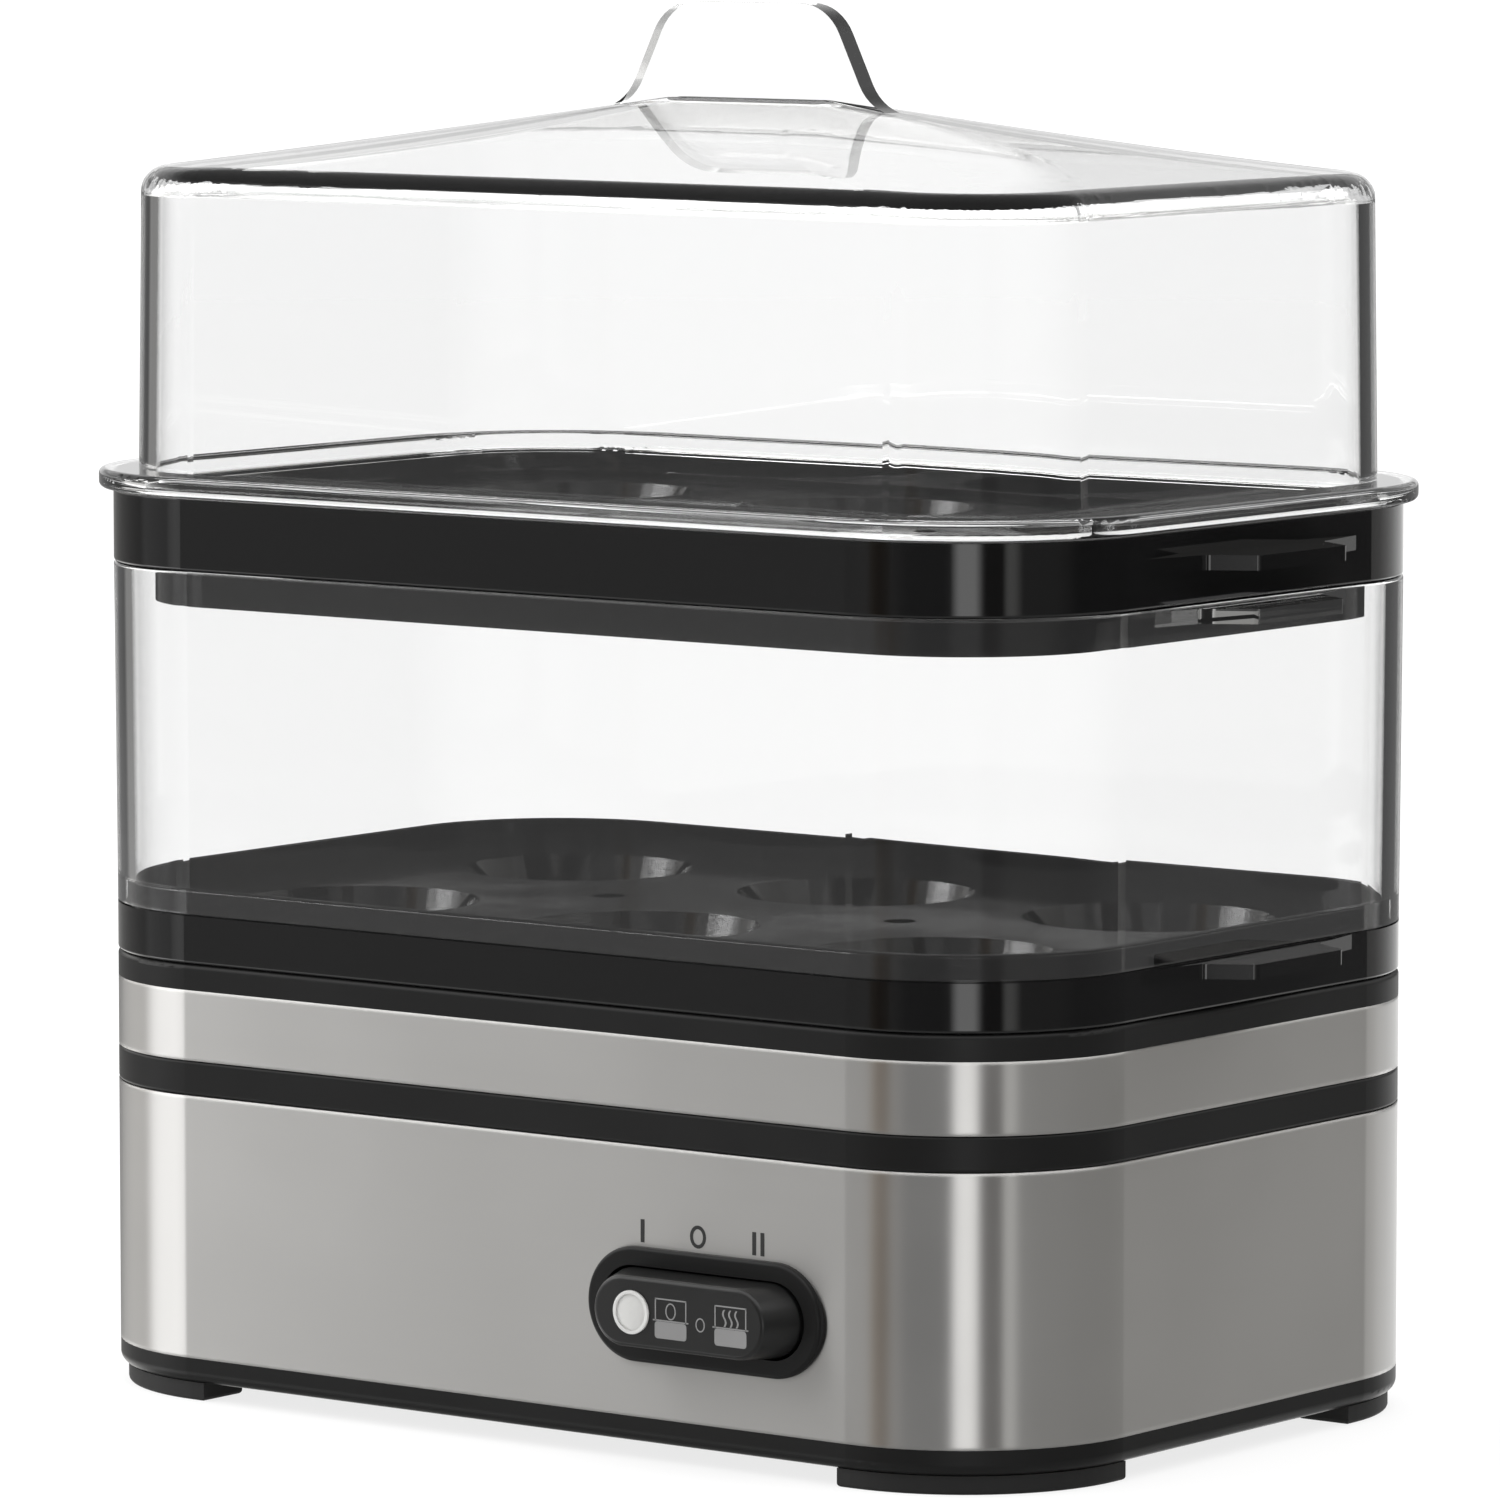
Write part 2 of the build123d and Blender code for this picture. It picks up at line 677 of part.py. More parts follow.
def make_fuse_lead():
    """From the fuse to the heating loop's left terminal."""
    turn_y, run_x = -18.0, -21.5
    wire_z = element_z - terminal_drop - socket_lift - wire_radius
    lead = crimp(-1) + socket((-terminal_spacing / 2, element_depth / 2, element_z - terminal_drop),
                              (0, 0, -1))
    return lead + wire((fuse_x, socket_grip - crimp_end, fuse_z), (fuse_x, turn_y, fuse_z),
                       (fuse_x, turn_y, sensor_wire_z), (run_x, -4, sensor_wire_z),
                       (run_x, element_depth / 2, wire_z),
                       (socket_grip - (terminal_spacing + socket_width) / 2, element_depth / 2, wire_z))


def make_neutral_lead():
    """From the terminal block to the heating loop's right terminal."""
    x, bend_z = terminal_spacing / 2, 22.0
    y = element_depth / 2
    lead = socket((x, y, element_z - terminal_drop), (0, 0, -1))
    foot = element_z - terminal_drop - socket_lift - socket_length
    return lead + wire((block_x + block_pitch, block_front + block_grip, block_wire_z),
                       (block_x + block_pitch, 14, block_wire_z), (x, 13, bend_z), (x, y, bend_z),
                       (x, y, foot + socket_grip))


# ---------------------------------------------------------------- switch
def make_bezel():
    """The obround switch surround, with the collar that passes through the steel."""
    bezel = slot_bar(bezel_length, bezel_height, bezel_front, front)
    outer = bezel.edges().filter_by_position(Axis.Y, bezel_front - 0.01, bezel_front + 0.01)
    bezel = fillet(outer, bezel_proud / 2)
    bezel += slot_bar(collar_length, collar_height, front, collar_back)
    bezel -= slot_bar(inner_length, inner_height, bezel_front, collar_back)
    return bezel - rod(pivot_radius, collar_height, (switch_x, pivot_y, switch_z - collar_height / 2))


def make_rocker():
    """The rocker: a tapered obround block, its pivot hub and the nose that works the contacts."""
    block_back = pivot_y - block_back_gap
    rocker = loft([slot_face(rocker_length, rocker_height, bezel_front),
                   slot_face(rocker_face_length, rocker_face_height, rocker_front)])
    face_edges = rocker.edges().filter_by_position(Axis.Y, rocker_front - 0.01, rocker_front + 0.01)
    rocker = fillet(face_edges, rocker_face_round)
    rocker += slot_bar(rocker_length, rocker_height, bezel_front, block_back)
    rocker += rod(hub_radius, rocker_height, (switch_x, pivot_y, switch_z - rocker_height / 2))
    rocker += Pos(switch_x, pivot_y, switch_z) * Box(nose_width, nose_length, nose_height,
                                                    align=(Align.CENTER, Align.MIN, Align.CENTER))
    rocker -= rod(pivot_radius + pin_gap, rocker_height, (switch_x, pivot_y, switch_z - rocker_height / 2))
    lens_x = switch_x + lens_offset
    rocker -= rod(lens_radius + pin_gap, lens_depth, (lens_x, rocker_front, switch_z), (0, 1, 0))
    return rocker - rod(lamp_radius + pin_gap, lens_depth + lamp_length,
                        (lens_x, rocker_front, switch_z), (0, 1, 0))


def make_rocker_pin():
    """The upright pin that the rocker turns on, held at both ends in the bezel's collar."""
    return rod(pivot_radius, collar_height, (switch_x, pivot_y, switch_z - collar_height / 2))


def make_lens():
    """The round light window in the rocker's face: a raised edge round a shallow dome."""
    axis_x = switch_x + lens_offset
    rim_front = rocker_front - lens_proud
    foot = (axis_x + lens_radius - lens_rim, rim_front + lens_groove)
    crown = (axis_x, rim_front)
    middle = (axis_x + (lens_radius - lens_rim) / 2, rim_front + lens_groove / 4)
    lens_back = rocker_front + lens_depth
    walls = Polyline(foot, (foot[0], rim_front), (axis_x + lens_radius, rim_front),
                     (axis_x + lens_radius, lens_back), (axis_x, lens_back), crown)
    half = make_face(Plane.XY.offset(switch_z) * (walls + ThreePointArc(crown, middle, foot)))
    return revolve(half, Axis((axis_x, 0, switch_z), (0, 1, 0)))


def make_lamp():
    """The small lamp behind the window."""
    start = (switch_x + lens_offset, rocker_front + lens_depth, switch_z)
    lamp = rod(lamp_radius, lamp_length, start, (0, 1, 0))
    return fillet(lamp.edges().filter_by_position(Axis.Y, start[1] - 0.01, start[1] + 0.01), lamp_radius / 2)


def make_switch_body():
    """The contact block behind the collar, with three blades for the leads."""
    block = Box(switch_body_length, switch_body_depth, switch_body_height,
                align=(Align.CENTER, Align.MIN, Align.CENTER))
    switch = Pos(switch_x, collar_back, switch_z) * block
    swing = math.tan(math.radians(rocker_swing)) * nose_length
    pocket = Box(nose_width + 2 * swing + 2 * slip_gap, nose_length, nose_height + 2 * slip_gap,
                 align=(Align.CENTER, Align.MIN, Align.CENTER))
    switch -= Pos(switch_x, pivot_y + slip_gap, switch_z) * pocket
    blade = Box(blade_width, blade_length, blade_thickness, align=(Align.CENTER, Align.MIN, Align.CENTER))
    for place in (-1, 0, 1):
        switch += Pos(switch_x + place * blade_pitch, blade_root_y, switch_z) * blade
    return switch


# ---------------------------------------------------------------- trays, tier and lid
def make_lugs(root_x, z):
    """The two flared lugs that stand out of the short sides, with their underside at z."""
    half = [(root_x - 1, lug_root_half), (root_x, lug_root_half), (root_x + lug_knee, lug_knee_half),
            (root_x + lug_nose, lug_nose_half)]
    outline = half + [(x, -y) for x, y in reversed(half)]
    face = make_face(Polyline(*outline, close=True).edges())
    knees = [v for v in face.vertices() if abs(v.X - root_x - lug_knee) < 0.01]
    face = fillet(knees, lug_knee_round)
    noses = [v for v in face.vertices() if abs(v.X - root_x - lug_nose) < 0.01]
    face = fillet(noses, lug_nose_round)
    lug = extrude(Pos(0, 0, z) * face, lug_thickness)
    return lug + mirror(lug, Plane.YZ)


def make_tray(outline, bottom, rebated):
    """An egg tray: a deep band, a floor with six open cups and a skirt that locates it below."""
    top = bottom + tray_band_height
    floor_top = top - tray_floor_drop
    floor_bottom = floor_top - tray_floor
    inside = outline.inset(rim_rebate + rim_wall)
    tray = outline.block(bottom, top)
    if rebated:
        tray -= outline.ring(rim_rebate, top - lip_height - slip_gap, top)
        tray = fillet(outline.inset(rim_rebate).rim(tray, top), band_edge_round)
    else:
        tray = fillet(outline.rim(tray, top), band_edge_round)
    tray = fillet(outline.rim(tray, bottom), band_edge_round)
    tray -= inside.block(floor_top, top)
    tray -= inside.block(bottom, floor_bottom)
    tray += outline.inset(skirt_inset).ring(skirt_wall, bottom - skirt_depth, floor_bottom)
    tray += make_lugs(outline.length / 2, bottom + lug_rise)
    for column in range(egg_columns):
        for row in range(egg_rows):
            x = (column - (egg_columns - 1) / 2) * egg_pitch
            y = (row - (egg_rows - 1) / 2) * egg_pitch
            tray += rod(cup_radius + cup_collar, -cup_depth, (x, y, floor_top))
            seat = Cone(cup_radius, cup_radius + cup_seat_flare, cup_depth,
                        align=(Align.CENTER, Align.CENTER, Align.MAX))
            tray -= Pos(x, y, floor_top) * seat
    for column in range(egg_columns - 1):
        x = (column - (egg_columns - 2) / 2) * egg_pitch
        tray -= rod(steam_hole_radius, -tray_floor, (x, 0, floor_top))
    return tray


def make_tier():
    """The clear wall between the trays, with a lip round the lower tray's rim and two lugs."""
    lip_bottom = lower_tray_top - lip_height
    tier = loft([body.face(lip_bottom), upper.face(tier_top)])
    tier = fillet(edges_at(tier, tier_top), tier_edge_round)
    tier += make_lugs(upper.length / 2 - tier_edge_round, tier_top - tier_lug_drop - lug_thickness)
    tier -= loft([body.inset(tier_wall_thickness).face(lip_bottom),
                  upper.inset(tier_wall_thickness).face(tier_top)])
    return tier - body.inset(rim_rebate - slip_gap).block(lip_bottom, lower_tray_top)


def roof_height(share):
    """How high the roof has risen at this share of the way from its edge to its ridge."""
    return roof_rise * share * (1 + roof_bulge * (1 - share))


def make_roof(outline, z):
    """The lid's crowned roof over an outline: its hips soften as it rises towards a short flat ridge."""
    half_depth = outline.depth / 2
    edge_roundness = outline.radius / half_depth
    sections = []
    for step in range(roof_steps):
        share = step / (roof_steps - 1)
        inset = share * (half_depth - ridge_half_width)
        shorten = share * (outline.length / 2 - ridge_half_length)
        roundness = edge_roundness + (ridge_roundness - edge_roundness) * (1 - (1 - share) ** 2)
        corner = roundness * (half_depth - inset)
        section = Outline(outline.length - 2 * shorten, outline.depth - 2 * inset, corner)
        sections.append(section.face(z + roof_height(share)))
    return loft(sections)


def make_tab(outline):
    """The lid's upright grip: a plate with round shoulders that flares into the crown over an outline."""
    half_length = outline.length / 2
    foot, end = (roof_edge + roof_height((half_length - x) / (half_length - ridge_half_length))
                 for x in (tab_root_half, tab_root_half + tab_round))
    half = [(tab_root_half + tab_round, roof_edge), (tab_root_half + tab_round, end - tab_sink),
            (tab_root_half, foot), (tab_top_half, tab_top)]
    outline = half + [(-x, z) for x, z in reversed(half)]
    face = make_face((Plane.XZ * Polyline(*outline, close=True)).edges())
    bends = [v for v in face.vertices() if abs(v.X) < tab_root_half + 0.01]
    face = fillet(bends, tab_round)
    return extrude(face, tab_thickness / 2, both=True)


def make_lid():
    """The clear lid: a flange on the upper tray, drafted walls, a crowned roof and the grip tab."""
    wall_top = lid_foot.inset(lid_draft)
    flange = upper.inset(-lid_flange_overhang)
    outer = loft([lid_foot.face(upper_tray_top), wall_top.face(roof_edge)])
    outer += make_roof(wall_top, roof_edge)
    outer = fillet(edges_at(outer, roof_edge), lid_edge_round)
    brim = flange.block(upper_tray_top, flange_top)
    lid = outer + fillet(edges_at(brim, upper_tray_top) + edges_at(brim, flange_top), flange_height / 3)
    lid += make_tab(wall_top)
    lip = upper.inset(rim_rebate + rim_wall + slip_gap)
    lid += lip.block(upper_tray_top - lid_lip_height, upper_tray_top)
    lid -= lip.inset(lid_lip_wall).block(upper_tray_top - lid_lip_height, upper_tray_top)
    ceiling = roof_edge - lid_wall_thickness
    inner_top = wall_top.inset(lid_wall_thickness)
    inner = loft([lid_foot.inset(lid_wall_thickness).face(upper_tray_top), inner_top.face(ceiling)])
    inner += make_roof(inner_top, ceiling)
    return lid - fillet(edges_at(inner, ceiling), lid_inner_round)


nodes = {
    "feet": make_feet(),
    "base_pan": make_base_pan(),
    "pan_screws": make_screws(),
    "inner_frame": make_frame(),
    "upper_frame": make_upper_frame(),
    "lower_band": make_lower_band(),
    "upper_band": make_upper_band(),
    "rim_ring": make_rim_ring(),
    "plate_gasket": make_gasket(),
    "heating_plate": make_heating_plate(),
    "heating_element": make_element(),
    "element_straps": make_straps(),
    "sensor_bracket": make_bracket(),
    "stud_nuts": make_nuts(),
    "thermostat": make_thermostat(),
    "thermal_fuse": make_fuse(),
    "fuse_cradle": make_fuse_clip(),
    "heat_shield": make_heat_shield(),
    "shield_screws": make_shield_screws(),
    "terminal_block": make_terminal_block(),
    "live_lead": make_live_lead(),
    "cook_lead": make_cook_lead(),
    "warm_lead": make_warm_lead(),
    "sensor_lead": make_sensor_lead(),
    "fuse_lead": make_fuse_lead(),
    "neutral_lead": make_neutral_lead(),
    "cord_gland": make_gland(),
    "gland_nut": make_gland_nut(),
    "switch_bezel": make_bezel(),
    "switch_body": make_switch_body(),
    "rocker_pin": make_rocker_pin(),
    "switch_rocker": make_rocker(),
    "indicator_lens": make_lens(),
    "indicator_lamp": make_lamp(),
    "lower_tray": make_tray(body, rim_top, rebated=True),
    "tier_wall": make_tier(),
    "upper_tray": make_tray(upper, tier_top, rebated=False),
    "lid": make_lid(),
}

os.makedirs("parts", exist_ok=True)
for name, shape in nodes.items():
    export_step(shape, f"parts/{name}.step")
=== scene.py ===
"""Finishes, printed marks and studio for a two-tier egg cooker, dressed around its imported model.

Metres, +Z up, +X to the right along the front and -Y the front face with the switch, as in the
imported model. Every finish reads Object coordinates, so one pattern runs over all pieces.
"""
from __future__ import annotations

import logging
import math
from dataclasses import dataclass
from enum import Enum

import bmesh
import bpy
from mathutils import Matrix, Vector

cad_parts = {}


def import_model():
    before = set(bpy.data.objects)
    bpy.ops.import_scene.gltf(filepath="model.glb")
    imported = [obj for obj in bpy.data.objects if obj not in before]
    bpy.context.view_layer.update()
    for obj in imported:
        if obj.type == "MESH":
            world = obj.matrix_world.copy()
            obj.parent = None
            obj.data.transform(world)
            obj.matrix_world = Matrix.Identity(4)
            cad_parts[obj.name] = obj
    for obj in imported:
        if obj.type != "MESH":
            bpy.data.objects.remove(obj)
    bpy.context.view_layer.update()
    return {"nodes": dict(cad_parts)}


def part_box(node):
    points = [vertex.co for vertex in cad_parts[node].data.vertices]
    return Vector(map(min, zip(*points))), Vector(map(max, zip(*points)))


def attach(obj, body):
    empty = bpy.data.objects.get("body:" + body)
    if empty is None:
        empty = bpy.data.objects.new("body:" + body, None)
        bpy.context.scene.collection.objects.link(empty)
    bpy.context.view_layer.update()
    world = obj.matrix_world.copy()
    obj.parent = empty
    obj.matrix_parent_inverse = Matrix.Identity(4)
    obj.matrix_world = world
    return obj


log = logging.getLogger("egg_cooker")

MM = 0.001
Colour = tuple[float, float, float]
WHITE = (1.0, 1.0, 1.0, 1.0)


# ---------------------------------------------------------------- shader building
class Nodes:
    """Adds and joins the nodes of one node tree."""

    def __init__(self, tree: bpy.types.NodeTree) -> None:
        """Works on an existing tree."""
        self.tree = tree

    def add(self, kind: str, **settings: object) -> bpy.types.Node:
        """Adds a node.

        Args:
            kind: the node's type without its ShaderNode prefix, such as TexNoise.
            settings: properties of the node, such as operation="ADD".

        Returns:
            The new node.
        """
        prefix = "" if kind.startswith("Node") else "ShaderNode"
        node = self.tree.nodes.new(prefix + kind)
        for name, value in settings.items():
            setattr(node, name, value)
        return node

    def put(self, socket: bpy.types.NodeSocket, value: object) -> None:
        """Gives an input socket a link or a constant.

        Args:
            socket: the input.
            value: the socket to link it to, or the constant.
        """
        if isinstance(value, bpy.types.NodeSocket):
            self.tree.links.new(value, socket)
        else:
            socket.default_value = value

    def math(self, operation: str, *values: object, clamp: bool = False) -> bpy.types.NodeSocket:
        """Adds a Math node.

        Args:
            operation: its operation.
            values: sockets or numbers for its inputs, in order.
            clamp: whether the result is held between 0 and 1.

        Returns:
            The node's output.
        """
        node = self.add("Math", operation=operation, use_clamp=clamp)
        for socket, value in zip(node.inputs, values):
            self.put(socket, value)
        return node.outputs[0]

    def spread(self, value: object, low: float, high: float, to_low: float = 0.0,
               to_high: float = 1.0, smooth: bool = False) -> bpy.types.NodeSocket:
        """Maps a value from one range to another, held inside the new range.

        Args:
            value: the socket to map.
            low: the value that gives to_low.
            high: the value that gives to_high.
            to_low: start of the new range.
            to_high: end of the new range.
            smooth: whether the ends are eased.

        Returns:
            The mapped value.
        """
        kind = "SMOOTHSTEP" if smooth else "LINEAR"
        node = self.add("MapRange", interpolation_type=kind, clamp=True)
        for socket, item in zip(node.inputs, (value, low, high, to_low, to_high)):
            self.put(socket, item)
        return node.outputs[0]

    def blend(self, factor: object, first: object, second: object) -> bpy.types.NodeSocket:
        """Mixes two colours.

        Args:
            factor: 0 for the first and 1 for the second.
            first: a socket or a colour.
            second: a socket or a colour.

        Returns:
            The mixed colour.
        """
        node = self.add("Mix", data_type="RGBA")
        for index, value in ((0, factor), (6, first), (7, second)):
            if isinstance(value, tuple) and len(value) == 3:
                value = (*value, 1.0)
            self.put(node.inputs[index], value)
        return node.outputs[2]

    def band(self, value: object, start: float, full: float, fade: float, end: float) -> bpy.types.NodeSocket:
        """A mask of a value: 0 up to start, 1 from full to fade and 0 again from end."""
        return self.math("MULTIPLY", self.spread(value, start, full), self.spread(value, fade, end, 1.0, 0.0))

    def vector(self, operation: str, first: object, second: object) -> bpy.types.NodeSocket:
        """Scales a colour by a number, or adds another colour to it.

        Args:
            operation: SCALE or ADD.
            first: the colour.
            second: the number or the other colour.

        Returns:
            The new colour.
        """
        node = self.add("VectorMath", operation=operation)
        self.put(node.inputs[0], first)
        self.put(node.inputs["Scale" if operation == "SCALE" else 1], second)
        return node.outputs[0]

    def pick(self, factor: object, first: object, second: object) -> bpy.types.NodeSocket:
        """Mixes two shaders.

        Args:
            factor: 0 for the first and 1 for the second.
            first: a shader's output.
            second: a shader's output.

        Returns:
            The mixed shader.
        """
        node = self.add("MixShader")
        for socket, item in zip(node.inputs, (factor, first, second)):
            self.put(socket, item)
        return node.outputs[0]

    def noise(self, vector: object, scale: object, detail: float = 2.0,
              roughness: float = 0.5) -> bpy.types.NodeSocket:
        """Adds a noise texture.

        Args:
            vector: where it is read.
            scale: how fine it is.
            detail: how many finer layers it has.
            roughness: how strong the finer layers are.

        Returns:
            Its value, from 0 to 1.
        """
        node = self.add("TexNoise")
        self.put(node.inputs["Vector"], vector)
        self.put(node.inputs["Scale"], scale)
        self.put(node.inputs["Detail"], detail)
        self.put(node.inputs["Roughness"], roughness)
        return node.outputs["Fac"]

    def bump(self, height: object, distance: float, strength: float = 1.0) -> bpy.types.NodeSocket:
        """Adds a Bump node.

        Args:
            height: the relief, from 0 to 1.
            distance: how deep a relief of 1 is, in metres.
            strength: how much of it shows.

        Returns:
            The bent normal.
        """
        node = self.add("Bump")
        self.put(node.inputs["Strength"], strength)
        self.put(node.inputs["Distance"], distance)
        self.put(node.inputs["Height"], height)
        return node.outputs["Normal"]


class Effect(Enum):
    """The surface effects that several finishes share, each built once as a node group."""

    GRAIN = "moulding_grain"
    BRUSH = "brushed_lines"
    SMUDGE = "handling_smudge"
    DUST = "settled_dust"


class Effects:
    """Keeps the node groups of the shared effects.

    A pitch is in waves per metre, apart from broad_pitch, a share of the brush lines' own.
    """

    tone_pitch: float = 40.0
    broad_pitch: float = 0.12
    line_share: float = 0.6
    dust_pitch: float = 180.0
    _built: dict[Effect, bpy.types.NodeTree] = {}

    @classmethod
    def place(cls, nodes: Nodes, effect: Effect, **values: float) -> bpy.types.Node:
        """Puts an effect into a material.

        Args:
            nodes: the material's nodes.
            effect: which effect.
            values: the effect's inputs by name, with _ for a space.

        Returns:
            The group node.
        """
        if effect not in cls._built:
            cls._built[effect] = getattr(cls, "_" + effect.value)()
        node = nodes.add("Group", node_tree=cls._built[effect])
        for name, value in values.items():
            nodes.put(node.inputs[name.replace("_", " ").capitalize()], value)
        return node

    @staticmethod
    def _start(effect: Effect, inputs: dict[str, float], outputs: tuple[str, ...]
               ) -> tuple[bpy.types.NodeTree, Nodes, bpy.types.Node, bpy.types.Node]:
        """Starts a group with float sockets.

        Args:
            effect: the effect that it is for.
            inputs: its inputs with their values.
            outputs: its outputs.

        Returns:
            The group, its nodes, and its input and output node.
        """
        tree = bpy.data.node_groups.new(effect.value, "ShaderNodeTree")
        for name, value in inputs.items():
            socket = tree.interface.new_socket(name, in_out="INPUT", socket_type="NodeSocketFloat")
            socket.default_value = value
        for name in outputs:
            tree.interface.new_socket(name, in_out="OUTPUT", socket_type="NodeSocketFloat")
        nodes = Nodes(tree)
        return tree, nodes, nodes.add("NodeGroupInput"), nodes.add("NodeGroupOutput")

    @classmethod
    def _moulding_grain(cls) -> bpy.types.NodeTree:
        """Fine spark-eroded grain of a mould, with slow changes of tone.

        Returns:
            The node group.
        """
        tree, nodes, ends, out = cls._start(Effect.GRAIN, {"Pitch": 3000.0, "Depth": 1.0}, ("Height", "Tone"))
        place = nodes.add("TexCoord").outputs["Object"]
        fine = nodes.noise(place, ends.outputs["Pitch"], detail=3.0, roughness=0.6)
        height = nodes.math("MULTIPLY", fine, ends.outputs["Depth"])
        nodes.put(out.inputs["Height"], height)
        nodes.put(out.inputs["Tone"], nodes.noise(place, cls.tone_pitch, detail=3.0))
        return tree

    @classmethod
    def _brushed_lines(cls) -> bpy.types.NodeTree:
        """Level brush lines: long across, fine in height, and uneven in strength.

        Returns:
            The node group.
        """
        inputs = {"Lines": 5000.0, "Streak": 60.0}
        tree, nodes, ends, out = cls._start(Effect.BRUSH, inputs, ("Height", "Tone"))
        place = nodes.add("SeparateXYZ")
        nodes.put(place.inputs[0], nodes.add("TexCoord").outputs["Object"])
        stretched = nodes.add("CombineXYZ")
        for axis in (0, 1):
            level = nodes.math("MULTIPLY", place.outputs[axis], ends.outputs["Streak"])
            nodes.put(stretched.inputs[axis], level)
        nodes.put(stretched.inputs[2], nodes.math("MULTIPLY", place.outputs[2], ends.outputs["Lines"]))
        lines = nodes.noise(stretched.outputs[0], 1.0, detail=4.0, roughness=0.65)
        broad = nodes.noise(stretched.outputs[0], cls.broad_pitch)
        nodes.put(out.inputs["Height"], lines)
        slow = nodes.math("MULTIPLY", broad, 1 - cls.line_share)
        nodes.put(out.inputs["Tone"], nodes.math("MULTIPLY_ADD", lines, cls.line_share, slow))
        return tree

    @classmethod
    def _handling_smudge(cls) -> bpy.types.NodeTree:
        """Large soft patches where hands and cloths have changed the gloss.

        Returns:
            The node group.
        """
        tree, nodes, ends, out = cls._start(Effect.SMUDGE, {"Scale": 30.0, "Amount": 0.5}, ("Mask",))
        place = nodes.add("TexCoord").outputs["Object"]
        patches = nodes.noise(place, ends.outputs["Scale"], detail=4.0, roughness=0.55)
        mask = nodes.spread(patches, low=0.42, high=0.68, smooth=True)
        nodes.put(out.inputs["Mask"], nodes.math("MULTIPLY", mask, ends.outputs["Amount"]))
        return tree

    @classmethod
    def _settled_dust(cls) -> bpy.types.NodeTree:
        """A thin veil on what faces up, broken by noise.

        Returns:
            The node group.
        """
        tree, nodes, ends, out = cls._start(Effect.DUST, {"Amount": 0.1}, ("Mask",))
        facing = nodes.add("SeparateXYZ")
        nodes.put(facing.inputs[0], nodes.add("NewGeometry").outputs["Normal"])
        upward = nodes.spread(facing.outputs[2], low=0.3, high=0.95, smooth=True)
        place = nodes.add("TexCoord").outputs["Object"]
        specks = nodes.noise(place, cls.dust_pitch, detail=5.0, roughness=0.7)
        broken = nodes.spread(specks, low=0.35, high=0.75)
        mask = nodes.math("MULTIPLY", nodes.math("MULTIPLY", upward, broken), ends.outputs["Amount"])
        nodes.put(out.inputs["Mask"], mask)
        return tree


# ---------------------------------------------------------------- finishes
class Finish:
    """A surface finish whose material is made once and then shared."""

    _made: dict[str, bpy.types.Material] = {}
    name: str

    def material(self) -> bpy.types.Material:
        """Makes the finish's material at the first call.

        Returns:
            The material.
        """
        if self.name not in self._made:
            material = bpy.data.materials.new(self.name)
            material.use_nodes = True
            material.node_tree.nodes.clear()
            nodes = Nodes(material.node_tree)
            out = nodes.add("OutputMaterial")
            self.build(nodes, out)
            self._made[self.name] = material
        return self._made[self.name]

    def build(self, nodes: Nodes, out: bpy.types.Node) -> None:
        """Builds the finish's nodes up to the output node.

        Args:
            nodes: the material's nodes.
            out: its output node.
        """
        raise NotImplementedError


@dataclass(frozen=True)
class BrushedMetal(Finish):
    """A metal with level brush lines.

    The brush is finer in height than along the lines, so a highlight spreads up and down.
    """

    name: str
    colour: Colour
    roughness: float = 0.28
    lines: float = 2600.0
    streak: float = 12.0
    line_depth: float = 2.0e-7
    anisotropy: float = 1.0
    brush_turn: float = 0.25
    tone_spread: float = 0.012
    gloss_spread: float = 0.03
    smudge: float = 0.02
    smudge_scale: float = 22.0
    edge_round: float = 0.0
    edge_samples: int = 6

    def build(self, nodes: Nodes, out: bpy.types.Node) -> None:
        """Builds the finish's nodes up to the output node.

        Args:
            nodes: the material's nodes.
            out: its output node.
        """
        brush = Effects.place(nodes, Effect.BRUSH, lines=self.lines, streak=self.streak)
        smudge = Effects.place(nodes, Effect.SMUDGE, scale=self.smudge_scale, amount=1.0)
        shader = nodes.add("BsdfPrincipled")
        dark = tuple(c * (1 - self.tone_spread) for c in self.colour)
        light = tuple(min(c * (1 + self.tone_spread), 1.0) for c in self.colour)
        nodes.put(shader.inputs["Base Color"], nodes.blend(brush.outputs["Tone"], dark, light))
        shader.inputs["Metallic"].default_value = 1.0
        rough = nodes.spread(brush.outputs["Tone"], low=0.3, high=0.7,
                             to_low=self.roughness - self.gloss_spread,
                             to_high=self.roughness + self.gloss_spread)
        smudged = nodes.math("MULTIPLY", smudge.outputs["Mask"], self.smudge)
        nodes.put(shader.inputs["Roughness"], nodes.math("ADD", rough, smudged))
        shader.inputs["Anisotropic"].default_value = self.anisotropy
        shader.inputs["Anisotropic Rotation"].default_value = self.brush_turn
        tangent = nodes.add("Tangent", direction_type="RADIAL", axis="Z")
        nodes.put(shader.inputs["Tangent"], tangent.outputs[0])
        if self.line_depth > 0:
            nodes.put(shader.inputs["Normal"], nodes.bump(brush.outputs["Height"], self.line_depth))
        if self.edge_round > 0:
            rounded = nodes.add("Bevel", samples=self.edge_samples)
            rounded.inputs["Radius"].default_value = self.edge_round
            nodes.put(shader.inputs["Normal"], rounded.outputs[0])
        nodes.put(out.inputs["Surface"], shader.outputs[0])


